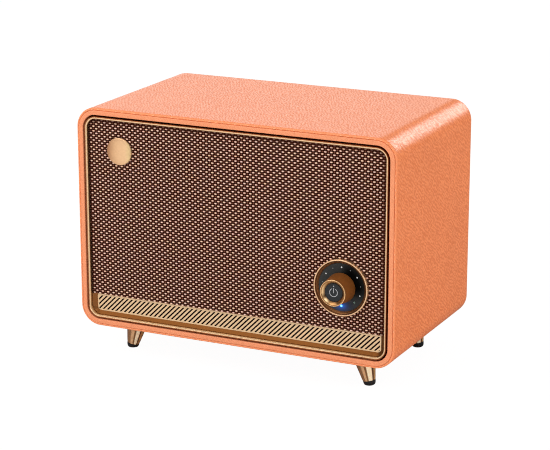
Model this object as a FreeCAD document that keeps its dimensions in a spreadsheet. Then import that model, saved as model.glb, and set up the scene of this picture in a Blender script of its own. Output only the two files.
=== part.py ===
import FreeCAD, Part
import Sketcher
import math
import os

# Leather-covered table radio on four splayed feet.  Millimetres, +Z up.  The origin is on the
# floor under the middle of the bounding box.  The grille faces -Y, the knob is at the right-hand
# end (+X) of the front, and the sockets are in the rear panel, which faces +Y.

doc = FreeCAD.newDocument("TableRadio")
Vector = FreeCAD.Vector

# ------------------------------------------------------------------------------------------------
# driving dimensions
# "front" and "back" are Y positions.  badge_z, cloth_bottom, the strip, slot and screw heights
# are measured from the cabinet's centre; other "_z" heights are measured from the floor.
# ------------------------------------------------------------------------------------------------
SIZES = [
    # cabinet
    ("cabinet_width", 230.0), ("cabinet_height", 151.0), ("cabinet_corner", 14.0),
    ("cabinet_centre_z", 95.5), ("front_plane", -59.9), ("back_plane", 72.0),
    ("leather_thick", 1.2), ("skin_gap", 0.05), ("lip_width", 4.8), ("lip_leather", 0.8),
    ("lip_depth", 1.3), ("turn_in_end", -47.0), ("wood_wall", 10.0),
    ("bead_outer", 0.2), ("bead_inner", 1.5), ("bead_set_back", 0.5),
    # front panel stack
    ("bezel_outer", 5.9), ("bezel_inner", 7.5), ("bezel_edge", 0.35),
    ("cloth_front", -57.4), ("cloth_thick", 0.85), ("cloth_bottom", -53.8),
    ("frame_back", -52.1), ("frame_border", 15.0),
    ("strip_half_width", 104.3), ("strip_bottom", -65.7), ("strip_top", -52.6),
    ("strip_front", -55.6), ("strip_thick", 1.35), ("strip_corner", 2.5),
    ("slot_pitch", 3.28), ("slot_low", -64.75), ("slot_high", -55.2), ("slot_span", 1.245),
    ("slot_count", 67.0), ("slot_border", 0.9),
    ("badge_radius", 9.25), ("badge_x", -83.7), ("badge_z", 47.4),
    # baffle
    ("baffle_front", -52.0), ("baffle_back", -46.05), ("baffle_edge", 5.2),
    ("screw_inset", 7.6), ("screw_side_z", 42.0), ("screw_top_x", 58.0), ("screw_shank", 1.25),
    ("screw_head", 2.6),
    # dial and knob
    ("dial_x", 77.3), ("dial_z", 70.65), ("dial_ring_outer", 18.8), ("dial_ring_lip", 18.0),
    ("dial_face_radius", 16.0), ("dial_face_front", -57.9), ("dial_face_thick", 1.5),
    ("mark_ring", 13.4), ("mark_radius", 0.5), ("lens_drop", 12.3), ("lens_radius", 0.85),
    ("knob_radius", 10.0), ("knob_front_radius", 8.75), ("knob_front", -72.0),
    ("knob_back", -58.7), ("cap_radius", 6.05), ("cap_front", -70.3),
    ("symbol_radius", 2.68), ("symbol_stroke", 0.42),
    ("shaft_radius", 3.0), ("shaft_gap", 0.05), ("encoder_side", 12.0), ("bush_radius", 3.5),
    # loudspeakers
    ("left_driver_x", -58.0), ("right_driver_x", 22.0), ("driver_z", 103.5),
    ("flange_radius", 36.0), ("cutout_radius", 31.0), ("cone_radius", 24.0),
    ("driver_screw_ring", 33.6),
    # rear panel
    ("panel_front", 65.0), ("panel_back", 69.0), ("panel_edge", 5.1),
    ("port_x", -60.0), ("port_z", 118.0), ("port_bore", 12.0),
    ("controls_z", 62.0), ("usb_x", 22.0), ("aux_x", 38.0), ("aux_bore", 1.8),
    ("mode_x", 56.0), ("back_x", 69.0), ("next_x", 82.0), ("button_radius", 3.5),
    ("board_front", 57.4), ("board_back", 59.0),
    # battery
    ("cell_radius", 9.1), ("cell_length", 65.0), ("cell_z", 41.4), ("cell_first_y", 15.0),
    ("cell_second_y", 36.0), ("cell_x", -2.0),
    # feet
    ("foot_top_x", 84.2), ("foot_low_x", 88.3), ("foot_tip_x", 88.8), ("front_foot_y", -36.35),
    ("rear_foot_y", 48.4), ("foot_height", 20.0), ("foot_top_radius", 7.7),
    ("foot_low_radius", 4.2), ("tip_height", 2.6), ("stud_radius", 2.5),
]
VALUES = dict(SIZES)
sheet = doc.addObject("Spreadsheet::Sheet", "Sizes")
for row, (alias, value) in enumerate(SIZES, start=1):
    sheet.set("A%d" % row, alias)
    sheet.set("B%d" % row, repr(value))
    sheet.setAlias("B%d" % row, alias)
doc.recompute()


class Size:
    """A number together with the sheet expression that gives it."""

    def __init__(self, value, text):
        self.value = float(value)
        self.text = text

    def _join(self, other, sign, compute):
        other = dim(other)
        text = "(%s %s %s)" % (self.text, sign, other.text)
        return Size(compute(self.value, other.value), text)

    def __add__(self, other):
        return self._join(other, "+", lambda a, b: a + b)

    def __sub__(self, other):
        return self._join(other, "-", lambda a, b: a - b)

    def __mul__(self, other):
        return self._join(other, "*", lambda a, b: a * b)

    def __truediv__(self, other):
        return self._join(other, "/", lambda a, b: a / b)

    def __rmul__(self, other):
        return dim(other) * self

    def __neg__(self):
        return Size(-self.value, "(0 - %s)" % self.text)


def dim(source):
    """A Size from a Size, a sheet alias or a plain number."""
    if isinstance(source, Size):
        return source
    if isinstance(source, str):
        return Size(VALUES[source], "Sizes." + source)
    return Size(source, repr(float(source)))


# shared values
FIT = 0.05      # gap between neighbouring pieces
OVER = 1.0      # how far a cut reaches outside its piece
MIDDLE = 0.0    # Y where cuts through the front pieces end, well behind them
CENTRE_Z = dim("cabinet_centre_z")
HALF_WIDTH = dim("cabinet_width") / 2
HALF_HEIGHT = dim("cabinet_height") / 2
FRONT = dim("front_plane")
BACK = dim("back_plane")
CABINET = (0, 0, CENTRE_Z)
DIAL = ("dial_x", 0, "dial_z")

# ------------------------------------------------------------------------------------------------
# documents objects: bodies, sketches and features
# ------------------------------------------------------------------------------------------------
pieces = []     # (label, object) of each piece to export
cuts = []       # (body, feature) of each cut, checked before export
serial = [0]


def fresh(stem):
    """An object name with the next serial number."""
    serial[0] += 1
    return "%s%03d" % (stem, serial[0])


def origin_of(body, role):
    return next(item for item in body.Origin.OriginFeatures if item.Role == role)


def bind(obj, prop, size):
    setattr(obj, prop, size.value)
    obj.setExpression(prop, size.text)


def new_body(label, place=(0, 0, 0)):
    body = doc.addObject("PartDesign::Body", fresh("Body"))
    body.Label = label
    body.AllowCompound = True
    place = [dim(coordinate) for coordinate in place]
    base = Vector(*[coordinate.value for coordinate in place])
    body.Placement = FreeCAD.Placement(base, FreeCAD.Rotation())
    for axis, coordinate in zip("xyz", place):
        body.setExpression("Placement.Base." + axis, coordinate.text)
    pieces.append((label, body))
    return body


def sketch_on(body, plane, offset, *drawings):
    """Sketch on an origin plane moved along its normal, holding the given drawings."""
    sketch = body.newObject("Sketcher::SketchObject", fresh("Sketch"))
    sketch.AttachmentSupport = [(origin_of(body, plane), "")]
    sketch.MapMode = "FlatFace"
    offset = dim(offset)
    if offset.value:
        sketch.AttachmentOffset = FreeCAD.Placement(Vector(0, 0, offset.value), FreeCAD.Rotation())
        sketch.setExpression("AttachmentOffset.Base.z", offset.text)
    for draw in drawings:
        draw(sketch)
    return sketch


def extrude(body, kind, sketch, length, backwards=False):
    """Pad or Pocket of a sketch."""
    feature = body.newObject("PartDesign::" + kind, fresh(kind))
    feature.Profile = sketch
    bind(feature, "Length", length)
    feature.Reversed = backwards
    if kind == "Pocket":
        cuts.append((body, feature))
    return feature


def pad_y(body, y0, y1, *drawings):
    """Solid between the planes y0 and y1 (y0 < y1), drawn in X and Z."""
    y0, y1 = dim(y0), dim(y1)
    return extrude(body, "Pad", sketch_on(body, "XZ_Plane", -y0, *drawings), y1 - y0, True)


def cut_y(body, y0, y1, *drawings):
    """Pocket from the plane y0 towards +Y, as far as y1."""
    y0, y1 = dim(y0), dim(y1)
    return extrude(body, "Pocket", sketch_on(body, "XZ_Plane", -y0, *drawings), y1 - y0)


def pad_z(body, z0, z1, *drawings):
    """Solid between the planes z0 and z1 (z0 < z1), drawn in X and Y."""
    return extrude(body, "Pad", sketch_on(body, "XY_Plane", z0, *drawings), dim(z1) - z0)


def cut_z(body, z0, z1, *drawings):
    """Pocket from the plane z1 downwards, as far as z0."""
    return extrude(body, "Pocket", sketch_on(body, "XY_Plane", z1, *drawings), dim(z1) - z0)


def turned_y(label, place, *outlines):
    """Body turned about its own Y axis; outline points are (radius, y)."""
    body = new_body(label, place)
    sketch = sketch_on(body, "XY_Plane", 0, *[polygon(points) for points in outlines])
    feature = body.newObject("PartDesign::Revolution", fresh("Revolution"))
    feature.Profile = sketch
    feature.ReferenceAxis = (origin_of(body, "Y_Axis"), [""])
    feature.Angle = 360.0
    return body


def loft(body, kind, name, sections):
    feature = body.newObject("PartDesign::" + kind, name)
    feature.Profile = sections[0]
    feature.Sections = sections[1:]
    feature.Ruled = True
    body.Tip = feature
    return feature


# ------------------------------------------------------------------------------------------------
# drawings: each returns a function that draws the shape, fully dimensioned, into a sketch
# ------------------------------------------------------------------------------------------------
def constrain(sketch, kind, size, *elements):
    index = sketch.addConstraint(Sketcher.Constraint(kind, *elements, size.value))
    sketch.setExpression("Constraints[%d]" % index, size.text)


def pin_point(sketch, element, point, x, y):
    """Dimensions a point from the sketch's origin, or puts it on an axis."""
    for kind, size, axis in (("DistanceX", x, -2), ("DistanceY", y, -1)):
        if abs(size.value) < 1e-9:
            sketch.addConstraint(Sketcher.Constraint("PointOnObject", element, point, axis))
        else:
            constrain(sketch, kind, size, -1, 1, element, point)


def add_line(sketch, start, end):
    sketch.addGeometry(Part.LineSegment(Vector(*start, 0), Vector(*end, 0)), False)


def polygon(points):
    points = [(dim(x), dim(y)) for x, y in points]
    count = len(points)

    def draw(sketch):
        first = sketch.GeometryCount
        for (x0, y0), (x1, y1) in zip(points, points[1:] + points[:1]):
            add_line(sketch, (x0.value, y0.value), (x1.value, y1.value))
        for i in range(count):
            following = first + (i + 1) % count
            sketch.addConstraint(Sketcher.Constraint("Coincident", first + i, 2, following, 1))
        for i, (x, y) in enumerate(points):
            pin_point(sketch, first + i, 1, x, y)
    return draw


def circle(x, y, radius):
    x, y, radius = dim(x), dim(y), dim(radius)

    def draw(sketch):
        shape = Part.Circle(Vector(x.value, y.value, 0), Vector(0, 0, 1), radius.value)
        element = sketch.addGeometry(shape, False)
        pin_point(sketch, element, 3, x, y)
        constrain(sketch, "Radius", radius, element)
    return draw


def circles(points, radius):
    return [circle(x, y, radius) for x, y in points]


def box(x0, y0, x1, y1):
    return polygon([(x0, y0), (x1, y0), (x1, y1), (x0, y1)])


def rounded(x0, y0, x1, y1, radius):
    """Rounded rectangle between two corners."""
    x0, y0, x1, y1, radius = [dim(size) for size in (x0, y0, x1, y1, radius)]

    def draw(sketch):
        left, low, right, top = x0.value, y0.value, x1.value, y1.value
        r = radius.value
        first = sketch.GeometryCount
        # each side's start and end, then the centre of the arc that follows it
        sides = [
            ((left + r, low), (right - r, low), (right - r, low + r)),
            ((right, low + r), (right, top - r), (right - r, top - r)),
            ((right - r, top), (left + r, top), (left + r, top - r)),
            ((left, top - r), (left, low + r), (left + r, low + r)),
        ]
        for k, (start, end, centre) in enumerate(sides):
            add_line(sketch, start, end)
            whole = Part.Circle(Vector(*centre, 0), Vector(0, 0, 1), r)
            angle = (k - 1) * math.pi / 2
            sketch.addGeometry(Part.ArcOfCircle(whole, angle, angle + math.pi / 2), False)
        for k in range(4):
            line, arc, following = first + 2 * k, first + 2 * k + 1, first + (2 * k + 2) % 8
            sketch.addConstraint(Sketcher.Constraint("Tangent", line, 2, arc, 1))
            sketch.addConstraint(Sketcher.Constraint("Tangent", arc, 2, following, 1))
        for k in range(4):
            direction = ("Horizontal", "Vertical")[k % 2]
            sketch.addConstraint(Sketcher.Constraint(direction, first + 2 * k))
        for k, size in enumerate((y0, x1, y1, x0)):
            kind = ("DistanceY", "DistanceX")[k % 2]
            constrain(sketch, kind, size, -1, 1, first + 2 * k, 1)
        for k in range(4):
            constrain(sketch, "Radius", radius, first + 2 * k + 1)
    return draw


def centred(half_x, half_y, radius, x=0, y=0):
    """Rounded rectangle about a centre."""
    x, y = dim(x), dim(y)
    return rounded(x - half_x, y - half_y, x + half_x, y + half_y, radius)


def outline(inset):
    """The cabinet's outline, moved inwards by inset."""
    return centred(HALF_WIDTH - inset, HALF_HEIGHT - inset, dim("cabinet_corner") - inset)


def cross(x, y, reach, half_stroke):
    """Upright cross: four arms of the given reach."""
    r, s = reach, half_stroke
    steps = [(-s, -r), (s, -r), (s, -s), (r, -s), (r, s), (s, s),
             (s, r), (-s, r), (-s, s), (-r, s), (-r, -s), (-s, -s)]
    return polygon([(x + dx, y + dy) for dx, dy in steps])


def polar(radius, degrees):
    """Point at an angle from the sketch's first axis."""
    angle = math.radians(degrees)
    return radius * math.cos(angle), radius * math.sin(angle)


def clock(radius, degrees):
    """Point at an angle from 12 o'clock, towards +X."""
    return polar(radius, 90 - degrees)


def hexagon(x, y, radius):
    points = [polar(radius, 60 * k) for k in range(6)]
    return polygon([(dim(x) + dx, dim(y) + dy) for dx, dy in points])


def corners(x, y):
    """The four points (+-x, +-y)."""
    return [(side * x, end * y) for side in (-1, 1) for end in (-1, 1)]


def feet_at(x_alias):
    """Centres of the four feet in plan, at the given distance from the middle."""
    return [(side * dim(x_alias), y) for side in (-1, 1) for y in ("front_foot_y", "rear_foot_y")]


# ------------------------------------------------------------------------------------------------
# cabinet: wooden tube, leather skin, leather edges
# ------------------------------------------------------------------------------------------------
wood_front = FRONT + "lip_depth" + "skin_gap"
wood_back = BACK - "lip_depth" - "skin_gap"
turn_in_inset = dim("lip_width") - "lip_leather"
rebate = turn_in_inset - "skin_gap"
turn_in_start = 0.5         # how deep in the lip the turned-in leather starts
screw_reach = 12            # from the baffle's or panel's inner plane to the screw's tip
screw_hole_depth = 13
pilot_radius = dim("screw_shank") + 0.05
pass_radius = dim("screw_shank") + 0.15
EDGE_SCREWS = (corners(HALF_WIDTH - "screw_inset", dim("screw_side_z"))
               + corners(dim("screw_top_x"), HALF_HEIGHT - "screw_inset"))

shell = new_body("cabinet_shell", CABINET)
pad_y(shell, wood_front, wood_back, outline(dim("leather_thick") + "skin_gap"))
cut_y(shell, wood_front - OVER, wood_back + OVER, outline("wood_wall"))
cut_y(shell, wood_front - OVER, "baffle_back", outline(rebate))
cut_y(shell, "panel_front", wood_back + OVER, outline(rebate))
cut_y(shell, dim("baffle_back") - OVER, dim("baffle_back") + screw_hole_depth,
      *circles(EDGE_SCREWS, pilot_radius))
cut_y(shell, dim("panel_front") - screw_hole_depth, dim("panel_front") + OVER,
      *circles(EDGE_SCREWS, pilot_radius))
cut_z(shell, -HALF_HEIGHT - OVER, -HALF_HEIGHT + "wood_wall" + OVER,
      *circles(feet_at("foot_top_x"), dim("stud_radius") + 0.1))

leather = new_body("leather_wrap", CABINET)
pad_y(leather, wood_front, wood_back, outline(0), outline("leather_thick"))
cut_z(leather, -HALF_HEIGHT - OVER, -HALF_HEIGHT + 3,
      *circles(feet_at("foot_top_x"), dim("stud_radius") + 0.2))

# sewn-on leather ring: a flat lip that turns in round the front opening
front_lip = new_body("front_lip_trim", CABINET)
pad_y(front_lip, FRONT, FRONT + "lip_depth",
      outline(dim("bead_inner") + "skin_gap"), outline("lip_width"))
pad_y(front_lip, FRONT + turn_in_start, "turn_in_end",
      outline(turn_in_inset), outline("lip_width"))

# bead in the corner where the two skins meet
bead = new_body("seam_bead", CABINET)
pad_y(bead, FRONT + "bead_set_back", FRONT + "lip_depth",
      outline("bead_outer"), outline("bead_inner"))

rear_lip = new_body("rear_lip_trim", CABINET)
pad_y(rear_lip, BACK - "lip_depth", BACK, outline("bead_outer"), outline("lip_width"))
pad_y(rear_lip, dim("panel_front") + 1, BACK - turn_in_start,
      outline(turn_in_inset), outline("lip_width"))

# ------------------------------------------------------------------------------------------------
# front panel
# ------------------------------------------------------------------------------------------------
dial_x = dim("dial_x")
dial_up = dim("dial_z") - CENTRE_Z      # dial centre above the cabinet's centre
dial_hole = circle(dial_x, dial_up, dim("dial_ring_outer") + FIT)
cloth_front = dim("cloth_front")
cloth_back = cloth_front + "cloth_thick"
cloth_inset = dim("bezel_inner") + 0.1

bezel = new_body("front_bezel", CABINET)
pad_y(bezel, FRONT, dim("baffle_front") - FIT, outline("bezel_outer"), outline("bezel_inner"))
# the edges in the front plane are rounded
doc.recompute()
front_edges = []
for number, edge in enumerate(bezel.Shape.Edges, start=1):
    bounds = edge.BoundBox
    if max(abs(bounds.YMin - FRONT.value), abs(bounds.YMax - FRONT.value)) < 1e-4:
        front_edges.append("Edge%d" % number)
bezel_pad = bezel.Tip
fillet = bezel.newObject("PartDesign::Fillet", fresh("Edge"))
fillet.Base = (bezel_pad, front_edges)
bind(fillet, "Radius", dim("bezel_edge"))
bezel.Tip = fillet

cloth = new_body("grille_cloth", CABINET)
pad_y(cloth, cloth_front, cloth_back, outline(cloth_inset))
for hole in (box(-HALF_WIDTH, -HALF_HEIGHT - 5, HALF_WIDTH, "cloth_bottom"), dial_hole):
    cut_y(cloth, cloth_front - OVER, cloth_front + 3, hole)

# plastic frame that the cloth is stretched over
frame = new_body("grille_frame", CABINET)
pad_y(frame, cloth_back + FIT, "frame_back", outline(cloth_inset))
cut_y(frame, cloth_front, MIDDLE,
      box(-HALF_WIDTH, -HALF_HEIGHT - 5, HALF_WIDTH, dim("strip_top") + 0.1))
opening_low = dim("strip_top") + 6
opening_top = HALF_HEIGHT - "frame_border"
opening_corner = 4
openings = [            # left edge, bottom, right edge
    (-HALF_WIDTH + "frame_border", opening_low, -20),
    (-16, opening_low, dial_x - 24),
    (dial_x - 20, 2, HALF_WIDTH - "frame_border"),
]
cut_y(frame, cloth_front, MIDDLE,
      *[rounded(left, low, right, opening_top, opening_corner) for left, low, right in openings])
cut_y(frame, cloth_front, MIDDLE, dial_hole)

# strip of slots slanted at 45 degrees along the bottom of the front
strip_half = dim("strip_half_width")
strip_low = dim("strip_bottom")
strip_top = dim("strip_top")
strip_front = dim("strip_front")
strip_back = strip_front + "strip_thick"
slot_rise = dim("slot_high") - "slot_low"
slot_x = -strip_half - slot_rise - 0.05
slot_span = dim("slot_span")
border = dim("slot_border")
strip_outline = rounded(-strip_half, strip_low, strip_half, strip_top, "strip_corner")

strip = new_body("louvre_strip", CABINET)
pad_y(strip, strip_front, strip_back, strip_outline)
slot = cut_y(strip, strip_front - 0.5, strip_back + 0.5, polygon([
    (slot_x, "slot_low"), (slot_x + slot_span, "slot_low"),
    (slot_x + slot_span + slot_rise, "slot_high"), (slot_x + slot_rise, "slot_high")]))
slots = strip.newObject("PartDesign::LinearPattern", "SlotPattern")
slots.Originals = [slot]
slots.Direction = (origin_of(strip, "X_Axis"), [""])
slots.Occurrences = int(VALUES["slot_count"])
slots.setExpression("Occurrences", "Sizes.slot_count")
bind(slots, "Length", (dim("slot_count") - 1) * "slot_pitch")
strip.Tip = slots
# solid border, which closes the slots that run over the ends
pad_y(strip, strip_front, strip_back, strip_outline,
      rounded(-strip_half + border, strip_low + border, strip_half - border, strip_top - border,
              dim("strip_corner") - border))

# bevelled surround between the bezel and the strip
surround_inset = dim("bezel_inner") + 0.06
surround_top = HALF_HEIGHT - 8          # top of the cutting shapes, above the surround itself
bevel_edge = 0.15                       # width left at the front of the bevel
bevel_over = 0.01                       # overshoot of the bevel at both ends
near_half_width = HALF_WIDTH - surround_inset - bevel_edge
near_low = -(HALF_HEIGHT - surround_inset - bevel_edge)
strip_pocket = rounded(-strip_half - FIT, strip_low - FIT, strip_half + FIT, surround_top,
                       dim("strip_corner") + FIT)

surround = new_body("strip_surround", CABINET)
pad_y(surround, cloth_front, strip_back, outline(surround_inset))
cut_y(surround, cloth_front - OVER, strip_back + OVER,
      box(-HALF_WIDTH, dim("cloth_bottom") - 0.1, HALF_WIDTH, HALF_HEIGHT))
cut_y(surround, strip_front - 0.1, strip_back + OVER, strip_pocket)
near = sketch_on(surround, "XZ_Plane", -(cloth_front - bevel_over),
                 rounded(-near_half_width, near_low, near_half_width, surround_top,
                         dim("cabinet_corner") - surround_inset - bevel_edge))
far = sketch_on(surround, "XZ_Plane", -(strip_front + bevel_over), strip_pocket)
cuts.append((surround, loft(surround, "SubtractiveLoft", "Bevel", [near, far])))

backing = new_body("strip_backing", CABINET)
pad_y(backing, strip_back + FIT, dim("frame_back") - 0.3,
      rounded(-strip_half, strip_low, strip_half, strip_top, 2.0))

# blank domed badge, stuck on the cloth
badge_radius = dim("badge_radius")
turned_y("badge", ("badge_x", cloth_front, CENTRE_Z + "badge_z"), [
    (0, -1.95), (badge_radius * 0.45, -1.86), (badge_radius * 0.8, -1.62),
    (badge_radius * 0.95, -1.38), (badge_radius, -1.05), (badge_radius, -0.02), (0, -0.02)])

# ------------------------------------------------------------------------------------------------
# baffle and its screws
# ------------------------------------------------------------------------------------------------
DRIVERS = [("left", "left_driver_x"), ("right", "right_driver_x")]
baffle_front = dim("baffle_front")
baffle_back = dim("baffle_back")
driver_up = dim("driver_z") - CENTRE_Z
lens_drop = dim("lens_drop")
screw_offset = dim("driver_screw_ring") * math.cos(math.pi / 4)
FLANGE_HOLES = corners(screw_offset, screw_offset)
DRIVER_SCREWS = [(dim(alias) + x, driver_up + z) for _, alias in DRIVERS for x, z in FLANGE_HOLES]
driver_screw_depth = 4.5

baffle = new_body("front_baffle", CABINET)
pad_y(baffle, baffle_front, baffle_back - FIT, outline("baffle_edge"))
baffle_holes = [
    circles([(alias, driver_up) for _, alias in DRIVERS], "cutout_radius"),
    [circle(dial_x, dial_up, dim("bush_radius") + 0.2),
     circle(dial_x, dial_up - lens_drop, dim("lens_radius") + 0.15)],
    circles(EDGE_SCREWS, pass_radius),
]
for hole_group in baffle_holes:
    cut_y(baffle, baffle_front - OVER, MIDDLE, *hole_group)
cut_y(baffle, baffle_front - OVER, baffle_front + 2,
      *circles(EDGE_SCREWS, dim("screw_head") + 0.2))
cut_y(baffle, baffle_back - driver_screw_depth - 0.1, MIDDLE,
      *circles(DRIVER_SCREWS, pilot_radius))


def screws(label, points, head_front, head_back, tip, head_radius):
    """Cross-head screws along Y, as separate solids of one piece."""
    overlap = 0.1           # of shank and head
    recess_depth = 0.9
    recess_over = 0.5
    body = new_body(label, CABINET)
    pad_y(body, head_front, head_back, *circles(points, head_radius))
    if tip.value > head_back.value:
        pad_y(body, head_back - overlap, tip, *circles(points, "screw_shank"))
        recess = (head_front - recess_over, head_front + recess_depth)
    else:
        pad_y(body, tip, head_front + overlap, *circles(points, "screw_shank"))
        recess = (head_back - recess_depth, head_back + recess_over)
    cut_y(body, *recess, *[cross(x, z, reach=1.3, half_stroke=0.3) for x, z in points])


screws("baffle_screws", EDGE_SCREWS, baffle_front + 0.1, baffle_front + 1.95,
       baffle_back + screw_reach, "screw_head")
screws("driver_screws", DRIVER_SCREWS, baffle_back + 2.1, baffle_back + 3.7,
       baffle_back - driver_screw_depth, 2.3)

# ------------------------------------------------------------------------------------------------
# dial, knob and rotary encoder, all on one axis
# ------------------------------------------------------------------------------------------------
face_front = dim("dial_face_front")
face_back = face_front + "dial_face_thick"
face_radius = dim("dial_face_radius")
ring_radius = dim("dial_ring_outer")
ring_back = baffle_front - FIT
bush_radius = dim("bush_radius")
lens_radius = dim("lens_radius")

turned_y("dial_ring", DIAL, [
    ("dial_ring_lip", FRONT), (ring_radius - 0.25, FRONT), (ring_radius, FRONT + 0.25),
    (ring_radius, ring_back), (face_radius - 1.6, ring_back),
    (face_radius - 1.6, face_back + FIT), (face_radius, face_back + FIT),
    (face_radius, face_front)])

face = new_body("dial_face", DIAL)
pad_y(face, face_front, face_back, circle(0, 0, face_radius - FIT),
      circle(0, 0, bush_radius + 0.1), circle(0, -lens_drop, lens_radius + 0.1))

# printed scale: dots, every other one smaller, with a plus and a minus at the ends
mark_step = 27              # degrees
sign_angle = 135
sign_half_stroke = 0.16
sign_reach = 0.85
dots = []
for step in range(-4, 5):
    share = 1.0 if step % 2 == 0 else 0.7
    dots.append(circle(*clock(dim("mark_ring"), mark_step * step), dim("mark_radius") * share))
sign_x, sign_z = clock(dim("mark_ring") * 0.95, sign_angle)
marks = new_body("dial_marks", DIAL)
pad_y(marks, face_front - 0.1, face_front - 0.02, *dots,
      cross(sign_x, sign_z, sign_reach, sign_half_stroke),
      box(-sign_x - sign_reach, sign_z - sign_half_stroke,
          -sign_x + sign_reach, sign_z + sign_half_stroke))

lens_back = -41.0
turned_y("indicator_lens", (dial_x, 0, dim("dial_z") - lens_drop), [
    (0, face_front - 0.22), (0.45, face_front - 0.18), (0.8, face_front - 0.02),
    (lens_radius, face_front + 0.2), (lens_radius, lens_back), (0, lens_back)])

knob_back = dim("knob_back")
knob_front = dim("knob_front")
knob_radius = dim("knob_radius")
nose_radius = dim("knob_front_radius")
cap_radius = dim("cap_radius")
cap_front = dim("cap_front")
shaft_radius = dim("shaft_radius")
hub_bore = shaft_radius + 0.02
hub_radius = hub_bore + 2.2
skirt_back = knob_back - 4.0        # bottom of the hollow in the knob's back
turned_y("knob_body", DIAL, [
    (knob_radius - 0.2, knob_back), (knob_radius, knob_back - 0.2),
    (nose_radius, knob_front + 0.8), (cap_radius + 1.95, knob_front + 0.8),
    (cap_radius + 1.95, cap_front + 0.25), (cap_radius + 0.05, cap_front + 0.25),
    (cap_radius + 0.05, cap_front + 1.1), (hub_bore, cap_front + 1.1),
    (hub_bore, knob_back - 0.4), (hub_radius, knob_back - 0.4), (hub_radius, skirt_back),
    (knob_radius - 1.4, skirt_back), (knob_radius - 1.4, knob_back)])
turned_y("knob_ring", DIAL, [
    (nose_radius, knob_front + 0.75), (nose_radius, knob_front + 0.28),
    (nose_radius - 0.1, knob_front + 0.1), (nose_radius - 0.28, knob_front),
    (nose_radius - 0.5, knob_front), (nose_radius - 0.7, knob_front + 0.12),
    (nose_radius - 1.2, knob_front + 0.32), (cap_radius + 0.1, knob_front + 1.6),
    (cap_radius + 0.1, knob_front + 1.9), (cap_radius + 1.9, knob_front + 1.9),
    (cap_radius + 1.9, knob_front + 0.75)])
turned_y("knob_cap", DIAL, [
    (0, cap_front), (cap_radius - 0.2, cap_front), (cap_radius, cap_front + 0.15),
    (cap_radius, cap_front + 1.0), (0, cap_front + 1.0)])

# power symbol and pointer dot: raised inlays on the cap
half_stroke = dim("symbol_stroke") / 2
symbol_gap = 27.0           # degrees, from 12 o'clock to each end of the open ring
symbol_steps = 26
symbol_angles = [symbol_gap + (360 - 2 * symbol_gap) * k / symbol_steps
                 for k in range(symbol_steps + 1)]
outer_arc = [clock(dim("symbol_radius") + half_stroke, angle) for angle in symbol_angles]
inner_arc = [clock(dim("symbol_radius") - half_stroke, angle) for angle in symbol_angles]
power = new_body("power_symbol", DIAL)
pad_y(power, cap_front - 0.08, cap_front - 0.01, polygon(outer_arc + inner_arc[::-1]),
      box(-half_stroke, -0.3, half_stroke, 2.95), circle(0, 4.15, 0.42))

shaft_back = -42.0
shaft_bore = shaft_radius + "shaft_gap"
plunger_radius = 4.4
turned_y("encoder_shaft", DIAL, [
    (0, cap_front + 1.2), (shaft_radius - 0.3, cap_front + 1.2), (shaft_radius, cap_front + 1.5),
    (shaft_radius, shaft_back), (0, shaft_back)])
turned_y("encoder_plunger", DIAL, [
    (shaft_bore, -43.9), (plunger_radius, -43.9), (plunger_radius, -40.2), (0, -40.2),
    (0, shaft_back + 0.1), (shaft_bore, shaft_back + 0.1)])

encoder_front = baffle_back + 0.1
encoder_back = dim(-38.4)
half_side = dim("encoder_side") / 2
encoder = new_body("encoder_body", DIAL)
pad_y(encoder, encoder_front, encoder_back, centred(half_side, half_side, 0.8))
pad_y(encoder, -54.5, encoder_front + 0.05, circle(0, 0, bush_radius))
cut_y(encoder, -56, -44, circle(0, 0, shaft_bore))
cut_y(encoder, -44.2, -39.4, circle(0, 0, plunger_radius + 0.1))

# nut and washer in one
nut_bore = circle(0, 0, bush_radius + FIT)
washer_front = dim(-52.6)
nut = new_body("encoder_nut", DIAL)
pad_y(nut, -54.2, washer_front + 0.05, hexagon(0, 0, 5.6), nut_bore)
pad_y(nut, washer_front, baffle_front - FIT, circle(0, 0, 6.2), nut_bore)

# board behind the encoder, with a block behind the lens and two blocks on its back
control_front = encoder_back + FIT
control_back = control_front + 1.6
control = new_body("control_board", DIAL)
pad_y(control, control_front, control_back, rounded(-17, -19, 17, 13, 1.5))
pad_y(control, -40.3, control_front + 0.05, centred(1.6, 1.3, 0.3, 0, -lens_drop))
pad_y(control, control_back - 0.05, -33.0,
      rounded(-6, 4, 6, 10, 0.3), rounded(8, -16, 15, -8, 0.3))

# ------------------------------------------------------------------------------------------------
# two full-range loudspeakers; positions along Y count from the baffle's back
# ------------------------------------------------------------------------------------------------
flange_radius = dim("flange_radius")
cone_radius = dim("cone_radius")
WINDOW = polygon([      # one basket opening, seen along Y
    polar(20.4, 15), polar(31.5, 15), polar(33.5, 45), polar(31.5, 75), polar(20.4, 75)])
BASKET = [
    (28, 0), (flange_radius, 0), (flange_radius, 2), (31.2, 2), (20.6, 17.95), (17.8, 17.95),
    (17.8, 21), (16.5, 21), (16.5, 16.75), (19.2, 16.75), (29.6, 2), (28, 2)]
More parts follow.
